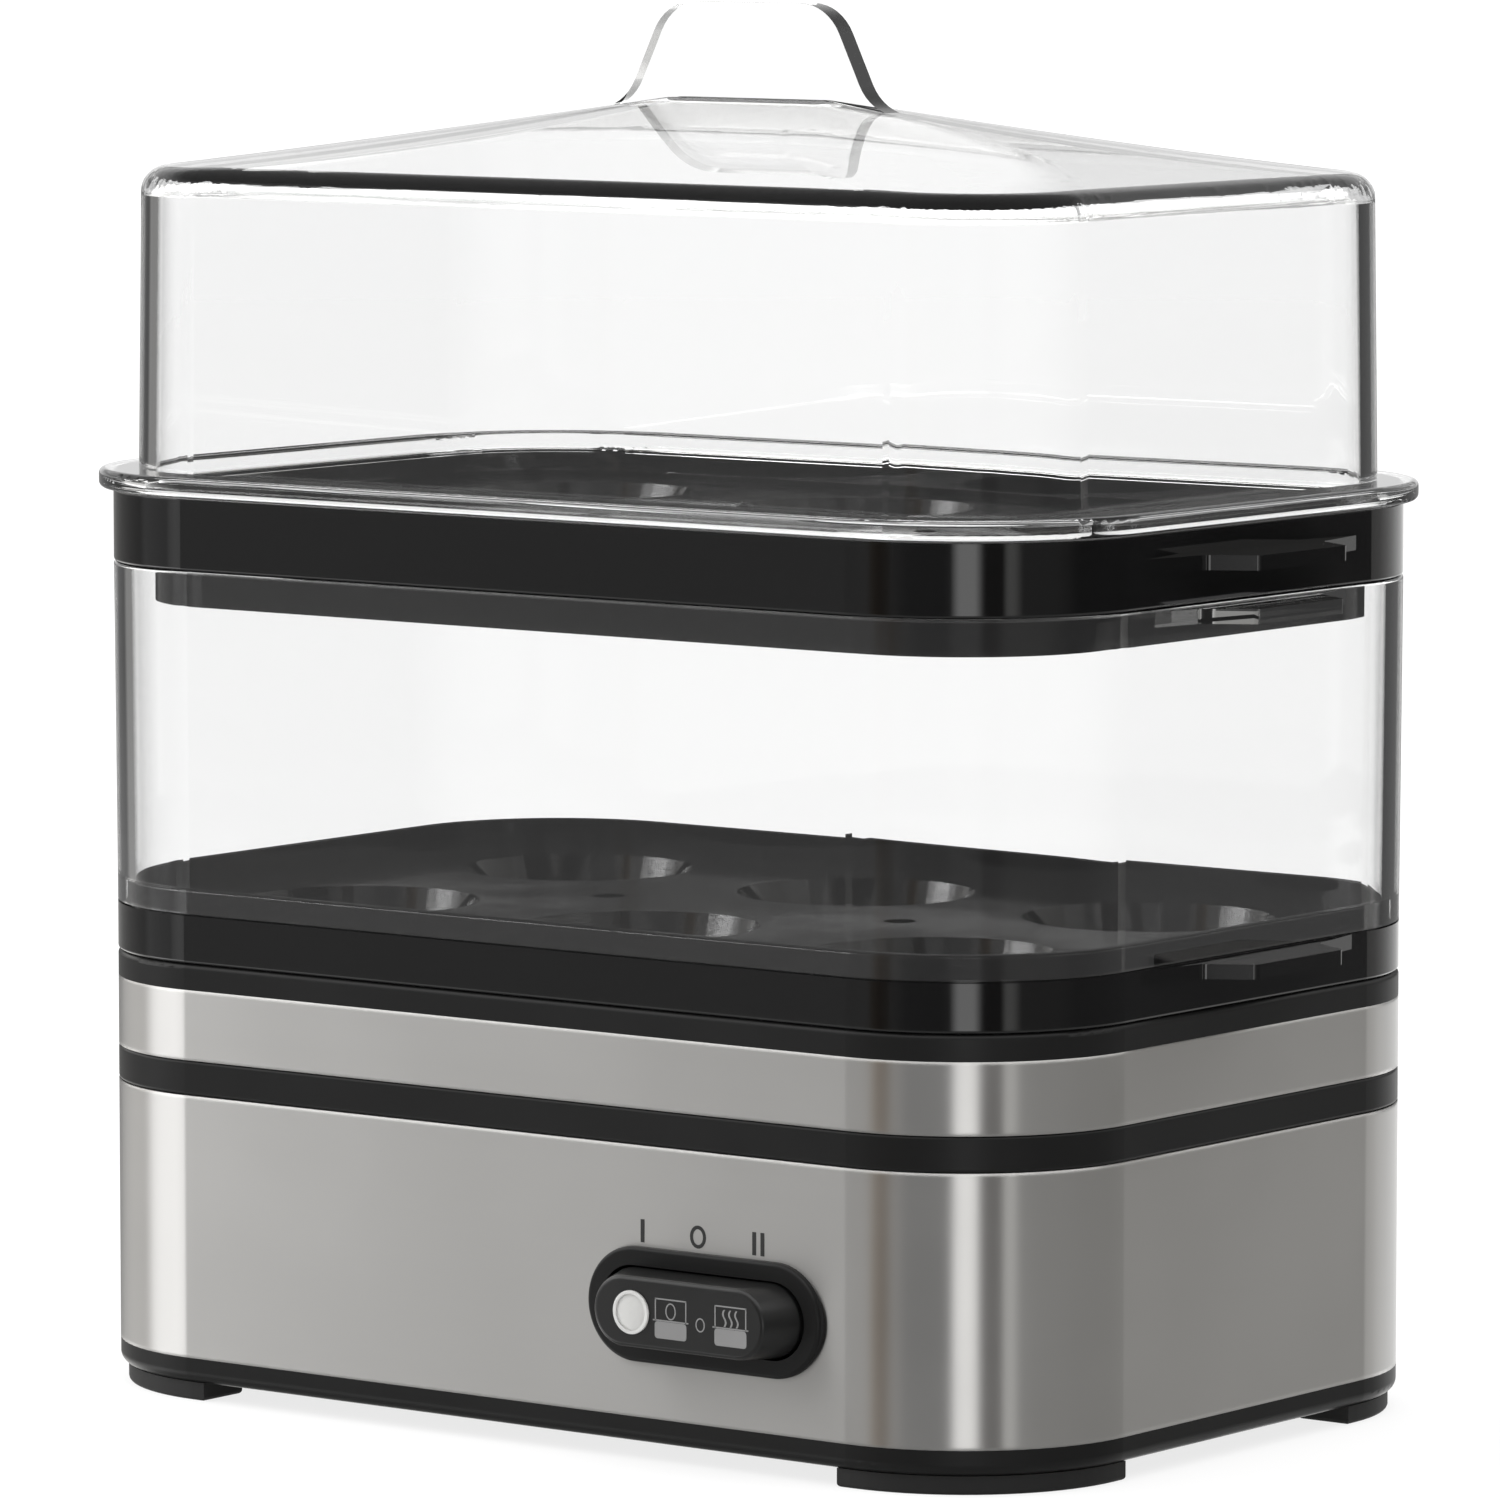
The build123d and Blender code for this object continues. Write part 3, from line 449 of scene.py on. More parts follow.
@dataclass(frozen=True)
class Moulded(Finish):
    """An opaque moulded plastic or rubber."""

    name: str
    colour: Colour
    roughness: float
    grain_pitch: float = 2600.0
    grain_depth: float = 4e-6
    tone_spread: float = 0.12
    smudge: float = 0.08
    smudge_scale: float = 35.0
    dust: float = 0.0
    specular: float = 0.5
    dust_colour: Colour = (0.34, 0.33, 0.31)

    def build(self, nodes: Nodes, out: bpy.types.Node) -> None:
        """Builds the finish's nodes up to the output node.

        Args:
            nodes: the material's nodes.
            out: its output node.
        """
        grain = Effects.place(nodes, Effect.GRAIN, pitch=self.grain_pitch, depth=1.0)
        smudge = Effects.place(nodes, Effect.SMUDGE, scale=self.smudge_scale, amount=1.0)
        shader = nodes.add("BsdfPrincipled")
        dark = tuple(c * (1 - self.tone_spread) for c in self.colour)
        light = tuple(c * (1 + self.tone_spread) for c in self.colour)
        colour = nodes.blend(grain.outputs["Tone"], dark, light)
        if self.dust > 0:
            dust = Effects.place(nodes, Effect.DUST, amount=self.dust)
            colour = nodes.blend(dust.outputs["Mask"], colour, self.dust_colour)
        nodes.put(shader.inputs["Base Color"], colour)
        smudged = nodes.math("MULTIPLY", smudge.outputs["Mask"], self.smudge)
        nodes.put(shader.inputs["Roughness"], nodes.math("ADD", smudged, self.roughness))
        shader.inputs["Specular IOR Level"].default_value = self.specular
        nodes.put(shader.inputs["Normal"], nodes.bump(grain.outputs["Height"], self.grain_depth))
        nodes.put(out.inputs["Surface"], shader.outputs[0])


@dataclass(frozen=True)
class ClearPlastic(Finish):
    """A polished see-through plastic that darkens with the length of the way through it.

    Lamps shine through it with little loss, so that it casts a faint shadow.
    """

    name: str
    colour: Colour = (1.0, 1.0, 1.0)
    ior: float = 1.52
    roughness: float = 0.0
    loss: float = 12.0
    loss_colour: Colour = (0.30, 0.32, 0.32)
    shadow_tint: Colour = (0.94, 0.94, 0.94)

    def build(self, nodes: Nodes, out: bpy.types.Node) -> None:
        """Builds the finish's nodes up to the output node.

        Args:
            nodes: the material's nodes.
            out: its output node.
        """
        shader = nodes.add("BsdfPrincipled")
        shader.inputs["Base Color"].default_value = (*self.colour, 1.0)
        shader.inputs["Roughness"].default_value = self.roughness
        shader.inputs["IOR"].default_value = self.ior
        shader.inputs["Transmission Weight"].default_value = 1.0
        through = nodes.add("BsdfTransparent")
        through.inputs["Color"].default_value = (*self.shadow_tint, 1.0)
        shadowing = nodes.add("LightPath").outputs["Is Shadow Ray"]
        nodes.put(out.inputs["Surface"], nodes.pick(shadowing, shader.outputs[0], through.outputs[0]))
        volume = nodes.add("VolumeAbsorption")
        volume.inputs["Color"].default_value = (*self.loss_colour, 1.0)
        volume.inputs["Density"].default_value = self.loss
        nodes.put(out.inputs["Volume"], volume.outputs[0])


@dataclass(frozen=True)
class Milky(Finish):
    """A translucent white plastic that scatters light inside."""

    name: str
    colour: Colour
    roughness: float = 0.25
    scatter: float = 0.002
    scatter_share: float = 0.6
    grain_pitch: float = 900.0
    grain_depth: float = 3e-6
    tone_spread: float = 0.03

    def build(self, nodes: Nodes, out: bpy.types.Node) -> None:
        """Builds the finish's nodes up to the output node.

        Args:
            nodes: the material's nodes.
            out: its output node.
        """
        grain = Effects.place(nodes, Effect.GRAIN, pitch=self.grain_pitch, depth=1.0)
        shader = nodes.add("BsdfPrincipled")
        dark = tuple(c * (1 - self.tone_spread) for c in self.colour)
        nodes.put(shader.inputs["Base Color"], nodes.blend(grain.outputs["Tone"], dark, self.colour))
        shader.inputs["Roughness"].default_value = self.roughness
        shader.inputs["Subsurface Weight"].default_value = self.scatter_share
        shader.inputs["Subsurface Scale"].default_value = self.scatter
        shader.inputs["Subsurface Radius"].default_value = (1.0, 1.0, 1.0)
        nodes.put(shader.inputs["Normal"], nodes.bump(grain.outputs["Height"], self.grain_depth))
        nodes.put(out.inputs["Surface"], shader.outputs[0])


STEEL = BrushedMetal("brushed_steel", (0.50, 0.493, 0.482), line_depth=0.0, tone_spread=0.004,
                     gloss_spread=0.006, edge_round=0.9 * MM)
PLATE = BrushedMetal("pressed_plate_steel", (0.56, 0.555, 0.545), roughness=0.3, line_depth=4e-7,
                     lines=900.0, streak=900.0, anisotropy=0.0)
ZINC = BrushedMetal("zinc_plate", (0.55, 0.56, 0.56), roughness=0.32, lines=2500.0, streak=2500.0,
                    anisotropy=0.0)
SHEATH = BrushedMetal("heated_sheath", (0.22, 0.2, 0.18), roughness=0.45, lines=1200.0, streak=1200.0,
                      anisotropy=0.0, tone_spread=0.25)
SATIN = Moulded("black_satin_plastic", (0.008, 0.008, 0.008), 0.34, dust=0.008, specular=0.155)
GLOSS = Moulded("black_gloss_plastic", (0.004, 0.004, 0.0041), 0.06, grain_pitch=400.0, grain_depth=2.5e-7,
                smudge=0.04)
ROCKER = Moulded("rocker_plastic", (0.009, 0.009, 0.009), 0.28, specular=0.36)
RUBBER = Moulded("foot_rubber", (0.012, 0.012, 0.012), 0.6, grain_pitch=1800.0, grain_depth=1.2e-5, dust=0.02,
                 specular=0.3)
SILICONE = Moulded("plate_gasket_silicone", (0.42, 0.09, 0.05), 0.45)
PHENOLIC = Moulded("brown_phenolic", (0.09, 0.045, 0.03), 0.4, tone_spread=0.3)
SLEEVING = Moulded("woven_lead_sleeving", (0.46, 0.45, 0.42), 0.75, grain_pitch=1500.0, grain_depth=6e-5,
                   tone_spread=0.2)
NYLON = Moulded("white_nylon", (0.72, 0.72, 0.68), 0.4, tone_spread=0.03)
CLEAR = ClearPlastic("clear_polished_plastic")
LENS = Milky("milky_lens", (0.47, 0.47, 0.46))
LAMP = ClearPlastic("lamp_glass", (1.0, 0.85, 0.72), loss=60.0)
DARK_INK = Moulded("dark_print", (0.012, 0.012, 0.012), 0.35, grain_depth=2e-6)
GREY_INK = Moulded("grey_print", (0.17, 0.17, 0.17), 0.5, grain_depth=2e-6)

NODE_FINISHES: dict[str, Finish] = {
    "feet": RUBBER, "base_pan": SATIN, "pan_screws": ZINC, "inner_frame": SATIN, "upper_frame": SATIN,
    "lower_band": STEEL, "upper_band": STEEL, "rim_ring": SATIN, "plate_gasket": SILICONE,
    "heating_plate": PLATE, "heating_element": SHEATH, "element_straps": ZINC, "sensor_bracket": ZINC,
    "stud_nuts": ZINC, "thermostat": PHENOLIC, "thermal_fuse": NYLON, "fuse_cradle": PHENOLIC,
    "heat_shield": PLATE, "shield_screws": ZINC, "terminal_block": NYLON, "live_lead": SLEEVING,
    "cook_lead": SLEEVING, "warm_lead": SLEEVING, "sensor_lead": SLEEVING, "fuse_lead": SLEEVING,
    "neutral_lead": SLEEVING, "cord_gland": SATIN, "gland_nut": SATIN, "switch_bezel": SATIN,
    "switch_body": SATIN, "rocker_pin": ZINC, "switch_rocker": ROCKER, "indicator_lens": LENS,
    "indicator_lamp": LAMP, "lower_tray": GLOSS, "tier_wall": CLEAR, "upper_tray": GLOSS, "lid": CLEAR,
}


def dress_nodes(nodes: dict[str, bpy.types.Object]) -> None:
    """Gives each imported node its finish.

    Args:
        nodes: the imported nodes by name.
    """
    for name, node in nodes.items():
        finish = NODE_FINISHES[name]
        node.data.materials.clear()
        node.data.materials.append(finish.material())
        log.info("node %s wears %s", name, finish.name)


# ---------------------------------------------------------------- printed marks
class FrontPrint:
    """Flat marks printed on a face that looks to the front, gathered into one piece.

    Places are (x, z) on the face, in metres.
    """

    film: float = 0.04 * MM
    curve_steps: int = 24
    corner_steps: int = 4

    def __init__(self, face_y: float) -> None:
        """Starts an empty print on the face at this distance along Y."""
        self.mesh = bmesh.new()
        self.face_y = face_y

    def _stand(self, place: tuple[float, float]) -> Matrix:
        """The matrix that stands a flat shape up on the face at a place."""
        upright = Matrix.Rotation(math.radians(90), 4, "X")
        return Matrix.Translation((place[0], self.face_y, place[1])) @ upright

    def bar(self, place: tuple[float, float], width: float, height: float, corner: float = 0.0) -> None:
        """Prints a filled rectangle.

        Args:
            place: its middle.
            width: its size along X.
            height: its size along Z.
            corner: radius of its corners.
        """
        stand = self._stand(place) @ Matrix.Diagonal((width, height, 1.0, 1.0))
        corners = bmesh.ops.create_grid(self.mesh, x_segments=1, y_segments=1, size=0.5,
                                        matrix=stand)["verts"]
        if corner > 0:
            bmesh.ops.bevel(self.mesh, geom=corners, offset=corner, offset_type="OFFSET", affect="VERTICES",
                            segments=self.corner_steps, profile=0.5, material=-1)

    def ring(self, place: tuple[float, float], width: float, height: float, line: float) -> None:
        """Prints an oval outline.

        Args:
            place: its middle.
            width: its outer size along X.
            height: its outer size along Z.
            line: how thick the line is.
        """
        loops = []
        for trim in (0.0, line):
            size = Matrix.Diagonal((width / 2 - trim, height / 2 - trim, 1.0, 1.0))
            loop = bmesh.ops.create_circle(self.mesh, radius=1.0, segments=self.curve_steps,
                                           matrix=self._stand(place) @ size)["verts"]
            loops += {edge for vertex in loop for edge in vertex.link_edges}
        bmesh.ops.bridge_loops(self.mesh, edges=loops)

    def wave(self, place: tuple[float, float], height: float, swing: float, line: float) -> None:
        """Prints an upright wavy line.

        Args:
            place: its middle.
            height: its size along Z.
            swing: how far it swings to each side.
            line: how thick the line is.
        """
        stand = self._stand(place) @ Matrix.Diagonal((line, height, 1.0, 1.0))
        strip = bmesh.ops.create_grid(self.mesh, x_segments=1, y_segments=self.curve_steps, size=0.5,
                                      matrix=stand)["verts"]
        for vertex in strip:
            climb = (vertex.co.z - place[1]) / height + 0.5
            vertex.co.x += swing * math.sin(2 * math.pi * climb)

    def _sort_faces(self) -> None:
        """Gives the faces an order of their own, because extruding leaves them in any order."""
        self.mesh.verts.index_update()
        count = len(self.mesh.verts)

        def rank(face: bmesh.types.BMFace) -> int:
            """A number from a face's first three vertices, which no two faces share."""
            first, second, third = sorted(vertex.index for vertex in face.verts)[:3]
            return (first * count + second) * count + third

        self.mesh.faces.sort(key=rank)

    def piece(self, name: str, finish: Finish, body: str, slot: str) -> bpy.types.Object:
        """Gives the marks their film thickness and hands them over.

        Args:
            name: the piece's name.
            finish: what they are printed with.
            body: the moving body that they ride on.
            slot: not used.

        Returns:
            The piece.
        """
        bmesh.ops.recalc_face_normals(self.mesh, faces=self.mesh.faces)
        for face in self.mesh.faces:
            if face.normal.y > 0:
                face.normal_flip()
        grown = bmesh.ops.extrude_face_region(self.mesh, geom=list(self.mesh.faces),
                                              use_keep_orig=True)["geom"]
        raised = [item for item in grown if isinstance(item, bmesh.types.BMVert)]
        bmesh.ops.translate(self.mesh, vec=(0, -self.film, 0), verts=raised)
        self._sort_faces()
        bmesh.ops.recalc_face_normals(self.mesh, faces=self.mesh.faces)
        return finished(name, self.mesh, finish, body)


@dataclass(frozen=True)
class SwitchMarks:
    """The position marks on the steel over the switch and the pictures on the rocker."""

    position_height: float = 3.4 * MM
    position_line: float = 0.68 * MM
    position_ring_width: float = 2.924 * MM
    position_ring_line: float = 0.544 * MM
    double_bar_offset: float = 0.748 * MM
    position_z: float = 34.3 * MM
    cook_x: float = 25.4 * MM
    off_x: float = 35.6 * MM
    warm_x: float = 46.6 * MM
    picture_z: float = 23.9 * MM
    picture_offsets: tuple[float, float] = (-1.3 * MM, 9.6 * MM)
    off_ring_offset: float = 4.1 * MM
    base_width: float = 5.8 * MM
    base_height: float = 2.5 * MM
    base_corner: float = 0.5 * MM
    brim_width: float = 6.496 * MM
    brim_rise: float = 0.15 * MM
    hood_width: float = 5.742 * MM
    hood_height: float = 3.3 * MM
    hood_side: float = 2.784 * MM
    inside_drop: float = 0.066 * MM
    egg_width: float = 1.9 * MM
    egg_height: float = 2.5 * MM
    steam_gap: float = 1.1 * MM
    steam_swing: float = 0.26 * MM
    steam_line: float = 0.3 * MM
    off_ring_width: float = 1.7 * MM
    off_ring_height: float = 2.1 * MM
    off_ring_drop: float = 1.1 * MM
    fine_line: float = 0.2 * MM

    def build(self) -> None:
        """Prints both sets of marks."""
        self.positions()
        self.pictures()

    def positions(self) -> None:
        """Prints the three positions: one bar, a ring and two bars."""
        steel_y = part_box("lower_band")[0].y
        marks = FrontPrint(steel_y)
        marks.bar((self.cook_x, self.position_z), self.position_line, self.position_height)
        marks.ring((self.off_x, self.position_z), self.position_ring_width, self.position_height,
                   self.position_ring_line)
        for side in (-1, 1):
            place = (self.warm_x + side * self.double_bar_offset, self.position_z)
            marks.bar(place, self.position_line, self.position_height)
        marks.piece("position_marks", DARK_INK, "base", "black_satin")

    def pictures(self) -> None:
        """Prints an egg under a hood on a base, a ring, and steam under a hood on a base."""
        low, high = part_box("switch_rocker")
        middle = (low.x + high.x) / 2
        marks = FrontPrint(low.y)
        base_z = self.picture_z - self.base_height
        brim_z = base_z + self.base_height / 2 + self.brim_rise
        hood_z = base_z + self.base_height / 2 + self.hood_height / 2
        inside_z = hood_z - self.inside_drop
        cook, warm = (middle + offset for offset in self.picture_offsets)
        for place in (cook, warm):
            marks.bar((place, base_z), self.base_width, self.base_height, self.base_corner)
            marks.bar((place, brim_z), self.brim_width, self.fine_line)
            for side in (-1, 1):
                marks.bar((place + side * self.hood_side, hood_z), self.fine_line, self.hood_height)
            marks.bar((place, hood_z + self.hood_height / 2), self.hood_width, self.fine_line)
        marks.ring((cook, inside_z), self.egg_width, self.egg_height, self.fine_line)
        for offset in (-1, 0, 1):
            place = (warm + offset * self.steam_gap, inside_z)
            marks.wave(place, self.egg_height, self.steam_swing, self.steam_line)
        off = (middle + self.off_ring_offset, self.picture_z - self.off_ring_drop)
        marks.ring(off, self.off_ring_width, self.off_ring_height, self.fine_line)
        marks.piece("rocker_pictures", GREY_INK, "rocker", "black_satin")


# ---------------------------------------------------------------- studio
Tone = float | Colour
Stops = tuple[tuple[float, Tone], ...]
Band = tuple[float, float, float, float]
Slope = tuple[float, float, float, float]


def colour_of(tone: Tone) -> Colour:
    """A colour as it is, or the grey of a level."""
    return tone if isinstance(tone, tuple) else (tone, tone, tone)


@dataclass(frozen=True)
class Surroundings:
    """What surfaces reflect: tall softboxes and dark flags round a bright ceiling.

    Azimuths are in degrees, from the front (-Y) towards +X. A climb is the upward part of a unit
    direction, so it is 0 at the horizon and 1 overhead. Stops give a level or colour by azimuth,
    a band gives the climbs of Nodes.band, and a slope the ranges of Nodes.spread.
    """

    walls: Stops = (
        (-180, (1.9, 1.9, 1.89)), (-160, (2.1, 2.1, 2.09)), (-143, (2.5, 2.49, 2.46)),
        (-132, (2.4, 2.38, 2.33)), (-104, (1.75, 1.73, 1.69)), (-78, (1.4, 1.38, 1.35)),
        (-72, 3.1), (-47, 3.0),
        (-43, (0.86, 0.86, 0.85)), (-34, (0.66, 0.655, 0.645)), (-22, (0.63, 0.62, 0.605)),
        (-18, (0.34, 0.26, 0.17)), (-14, (0.16, 0.09, 0.04)), (-10, (0.22, 0.18, 0.13)),
        (-6, (0.43, 0.42, 0.41)), (3, 0.20), (24, 0.18), (30, 0.40), (45, 0.45),
        (49, (0.06, 0.05, 0.045)), (58, (0.06, 0.05, 0.045)),
        (62, (0.31, 0.308, 0.30)), (72, (0.345, 0.343, 0.335)), (86, (0.32, 0.316, 0.306)),
        (143, (0.54, 0.533, 0.515)), (152, (0.8, 0.79, 0.77)), (180, (1.9, 1.9, 1.89)),
    )
    strip_lights: Stops = (
        (-180, 0.0), (28, 0.0), (33, 2.5), (42, (2.5, 2.5, 2.48)), (47, 0.0), (58, 0.0),
        (61, (0.9, 0.9, 0.88)), (65, (0.8, 0.8, 0.78)), (70, 0.0),
    )
    edge_flags: Stops = (
        (-180, 1.0), (-155, 1.0), (-151, 0.0), (-137, 0.0), (-134, 1.0), (-112, 1.0), (-107, 0.0), (160, 0.0),
        (166, 1.0), (180, 1.0),
    )
    backdrop: Stops = ((-180, 1.0), (-118, 1.0), (-108, 0.0), (160, 0.0), (170, 1.0))
    side_flags: Stops = (
        (-180, 0.0), (-142, 0.0), (-136, 0.75), (-52, 0.75), (-44, 0.15), (-30, 0.15), (-24, 0.0), (90, 0.0),
        (105, 1.0), (146, 1.0), (150, 0.0),
    )
    wall_middle: float = -0.05
    wall_slope: Slope = (0.17, 0.32, 0.5, 1.2)
    strip_slope: Slope = (0.17, 0.27, 1.0, 0.0)
    edge_flag_level: float = 0.03
    edge_flag_band: Band = (-0.25, -0.18, -0.01, 0.01)
    side_flag_slope: Slope = (-0.115, -0.095, 0.1, 0.02)
    side_flag_band: Band = (-0.2, -0.17, -0.03, 0.0)
    backdrop_low_level: float = 0.02
    backdrop_low_band: Band = (-0.01, 0.01, 0.13, 0.18)
    backdrop_high_level: float = 0.66
    backdrop_high_band: Band = (0.13, 0.18, 0.5, 0.6)
    ceiling_level: float = 2.2
    ceiling_climbs: tuple[float, float] = (0.45, 0.75)
    ground_tone: Colour = (0.45, 0.45, 0.445)
    ground_climbs: tuple[float, float] = (-0.35, -0.6)
    veil_rise: Slope = (-0.03, 0.03, 0.35, 1.0)
    veil_fall: Slope = (0.5, 0.65, 1.0, 0.4)
    seam_climb: float = 0.21
    seam_slope: Slope = (0.025, 0.05, 0.35, 0.0)

    def build(self, nodes: Nodes, direction: bpy.types.NodeSocket) -> bpy.types.NodeSocket:
        """Adds the surroundings to the world.

        Args:
            nodes: the world's nodes.
            direction: the way a ray leaves.

        Returns:
            The colour that the ray meets.
        """
        parts = nodes.add("SeparateXYZ")
        nodes.put(parts.inputs[0], direction)
        climb = parts.outputs[2]
        ahead = nodes.math("MULTIPLY", parts.outputs[1], -1.0)
        angle = nodes.math("ARCTAN2", parts.outputs[0], ahead)
        azimuth = nodes.math("MULTIPLY_ADD", angle, 0.5 / math.pi, 0.5)
        path = nodes.add("LightPath").outputs
        inside = nodes.math("GREATER_THAN", path["Transmission Depth"], 0.5)
        mirrored = path["Is Singular Ray"]

        light = self.lit_walls(nodes, azimuth, climb, mirrored)
        light = self.flagged(nodes, azimuth, climb, inside, light)
        light = self.backed(nodes, azimuth, climb, light)
        above = nodes.spread(climb, *self.ceiling_climbs, smooth=True)
        light = nodes.blend(above, light, colour_of(self.ceiling_level))
        below = nodes.spread(climb, *self.ground_climbs, smooth=True)
        light = nodes.blend(below, light, self.ground_tone)
        glazed = nodes.math("MULTIPLY", mirrored, nodes.math("SUBTRACT", 1.0, inside))
        return nodes.blend(glazed, light, self.veil(nodes, climb))

    def ring(self, nodes: Nodes, azimuth: bpy.types.NodeSocket, stops: Stops) -> bpy.types.NodeSocket:
        """A colour that changes round the studio.

        Args:
            nodes: the world's nodes.
            azimuth: the azimuth of a direction, from 0 to 1 for a whole turn that starts behind.
            stops: azimuths in degrees, in order, each with its level or colour.

        Returns:
            The colour at the azimuth.
        """
        ramp = nodes.add("ValToRGB")
        elements = ramp.color_ramp.elements
        while len(elements) < len(stops):
            elements.new(0.5)
        for element, (angle, tone) in zip(elements, stops):
            element.position = angle / 360 + 0.5
            element.color = (*colour_of(tone), 1.0)
        nodes.put(ramp.inputs[0], azimuth)
        return ramp.outputs[0]

    def lit_walls(self, nodes: Nodes, azimuth: bpy.types.NodeSocket, climb: bpy.types.NodeSocket,
                  mirrored: bpy.types.NodeSocket) -> bpy.types.NodeSocket:
        """The walls, dimmer towards the horizon, where strip lights show to all but mirrored rays.

        Args:
            nodes: the world's nodes.
            azimuth: the azimuth, from 0 to 1.
            climb: the climb.
            mirrored: 1 for a ray off a polished clear piece.

        Returns:
            Their colour.
        """
        height = nodes.math("ABSOLUTE", nodes.math("SUBTRACT", climb, self.wall_middle))
        level = nodes.spread(height, *self.wall_slope, smooth=True)
        near = nodes.spread(height, *self.strip_slope, smooth=True)
        light = nodes.vector("SCALE", self.ring(nodes, azimuth, self.walls), level)
        brighter = nodes.vector("ADD", light, self.ring(nodes, azimuth, self.strip_lights))
        dull = nodes.math("SUBTRACT", 1.0, mirrored)
        return nodes.blend(nodes.math("MULTIPLY", near, dull), light, brighter)

    def flagged(self, nodes: Nodes, azimuth: bpy.types.NodeSocket, climb: bpy.types.NodeSocket,
                inside: bpy.types.NodeSocket, light: bpy.types.NodeSocket) -> bpy.types.NodeSocket:
        """Sets dark flags low in the studio: behind the clear pieces' edges, and beside the trays.

        Args:
            nodes: the world's nodes.
            azimuth: the azimuth, from 0 to 1.
            climb: the climb.
            inside: 1 for a ray that has passed into a clear piece.
            light: what the flags stand in front of.

        Returns:
            The colour with the flags.
        """
        edges = nodes.math("MULTIPLY", self.ring(nodes, azimuth, self.edge_flags),
                           nodes.band(climb, *self.edge_flag_band))
        light = nodes.blend(nodes.math("MULTIPLY", edges, inside), light, colour_of(self.edge_flag_level))
        sides = nodes.math("MULTIPLY", self.ring(nodes, azimuth, self.side_flags),
                           nodes.band(climb, *self.side_flag_band))
        return nodes.blend(sides, light, nodes.spread(climb, *self.side_flag_slope))

    def backed(self, nodes: Nodes, azimuth: bpy.types.NodeSocket, climb: bpy.types.NodeSocket,
               light: bpy.types.NodeSocket) -> bpy.types.NodeSocket:
        """Hangs the backdrop that the tray floors reflect: dark below and light above.

        Args:
            nodes: the world's nodes.
            azimuth: the azimuth, from 0 to 1.
            climb: the climb.
            light: what the backdrop hangs in front of.

        Returns:
            The colour with the backdrop.
        """
        backdrop = self.ring(nodes, azimuth, self.backdrop)
        for level, band in (
            (self.backdrop_low_level, self.backdrop_low_band),
            (self.backdrop_high_level, self.backdrop_high_band),
        ):
            mask = nodes.math("MULTIPLY", nodes.band(climb, *band), backdrop)
            light = nodes.blend(mask, light, colour_of(level))
        return light

    def veil(self, nodes: Nodes, climb: bpy.types.NodeSocket) -> bpy.types.NodeSocket:
        """The plain light on polished clear pieces: weak on walls and from above, strong on the roof.

        Args:
            nodes: the world's nodes.
            climb: the climb.

        Returns:
            Its level.
        """
        off_seam = nodes.math("ABSOLUTE", nodes.math("SUBTRACT", climb, self.seam_climb))
        seam = nodes.spread(off_seam, *self.seam_slope)
        veil = nodes.math("SUBTRACT", nodes.spread(climb, *self.veil_rise), seam)
        return nodes.math("MULTIPLY", veil, nodes.spread(climb, *self.veil_fall))


@dataclass(frozen=True)
class Lamp:
    """A square lamp that looks at the object and shows in no reflection.

    The azimuth is in degrees, the power in watts.
    """

    name: str
    azimuth: float
    height: float
    side: float
    power: float
    reach: float = 1.6

    def build(self, aim: Vector) -> None:
        """Hangs the lamp.

        Args:
            aim: the point that it looks at.
        """
        turn = math.radians(self.azimuth)
        data = bpy.data.lights.new(self.name, "AREA")
        data.shape = "SQUARE"
        data.size = self.side
        data.energy = self.power
        lamp = bpy.data.objects.new(self.name, data)
        lamp.location = (math.sin(turn) * self.reach, -math.cos(turn) * self.reach, self.height)
        lamp.rotation_euler = (aim - lamp.location).to_track_quat("-Z", "Y").to_euler()
        lamp.visible_glossy = False
        bpy.context.scene.collection.objects.link(lamp)


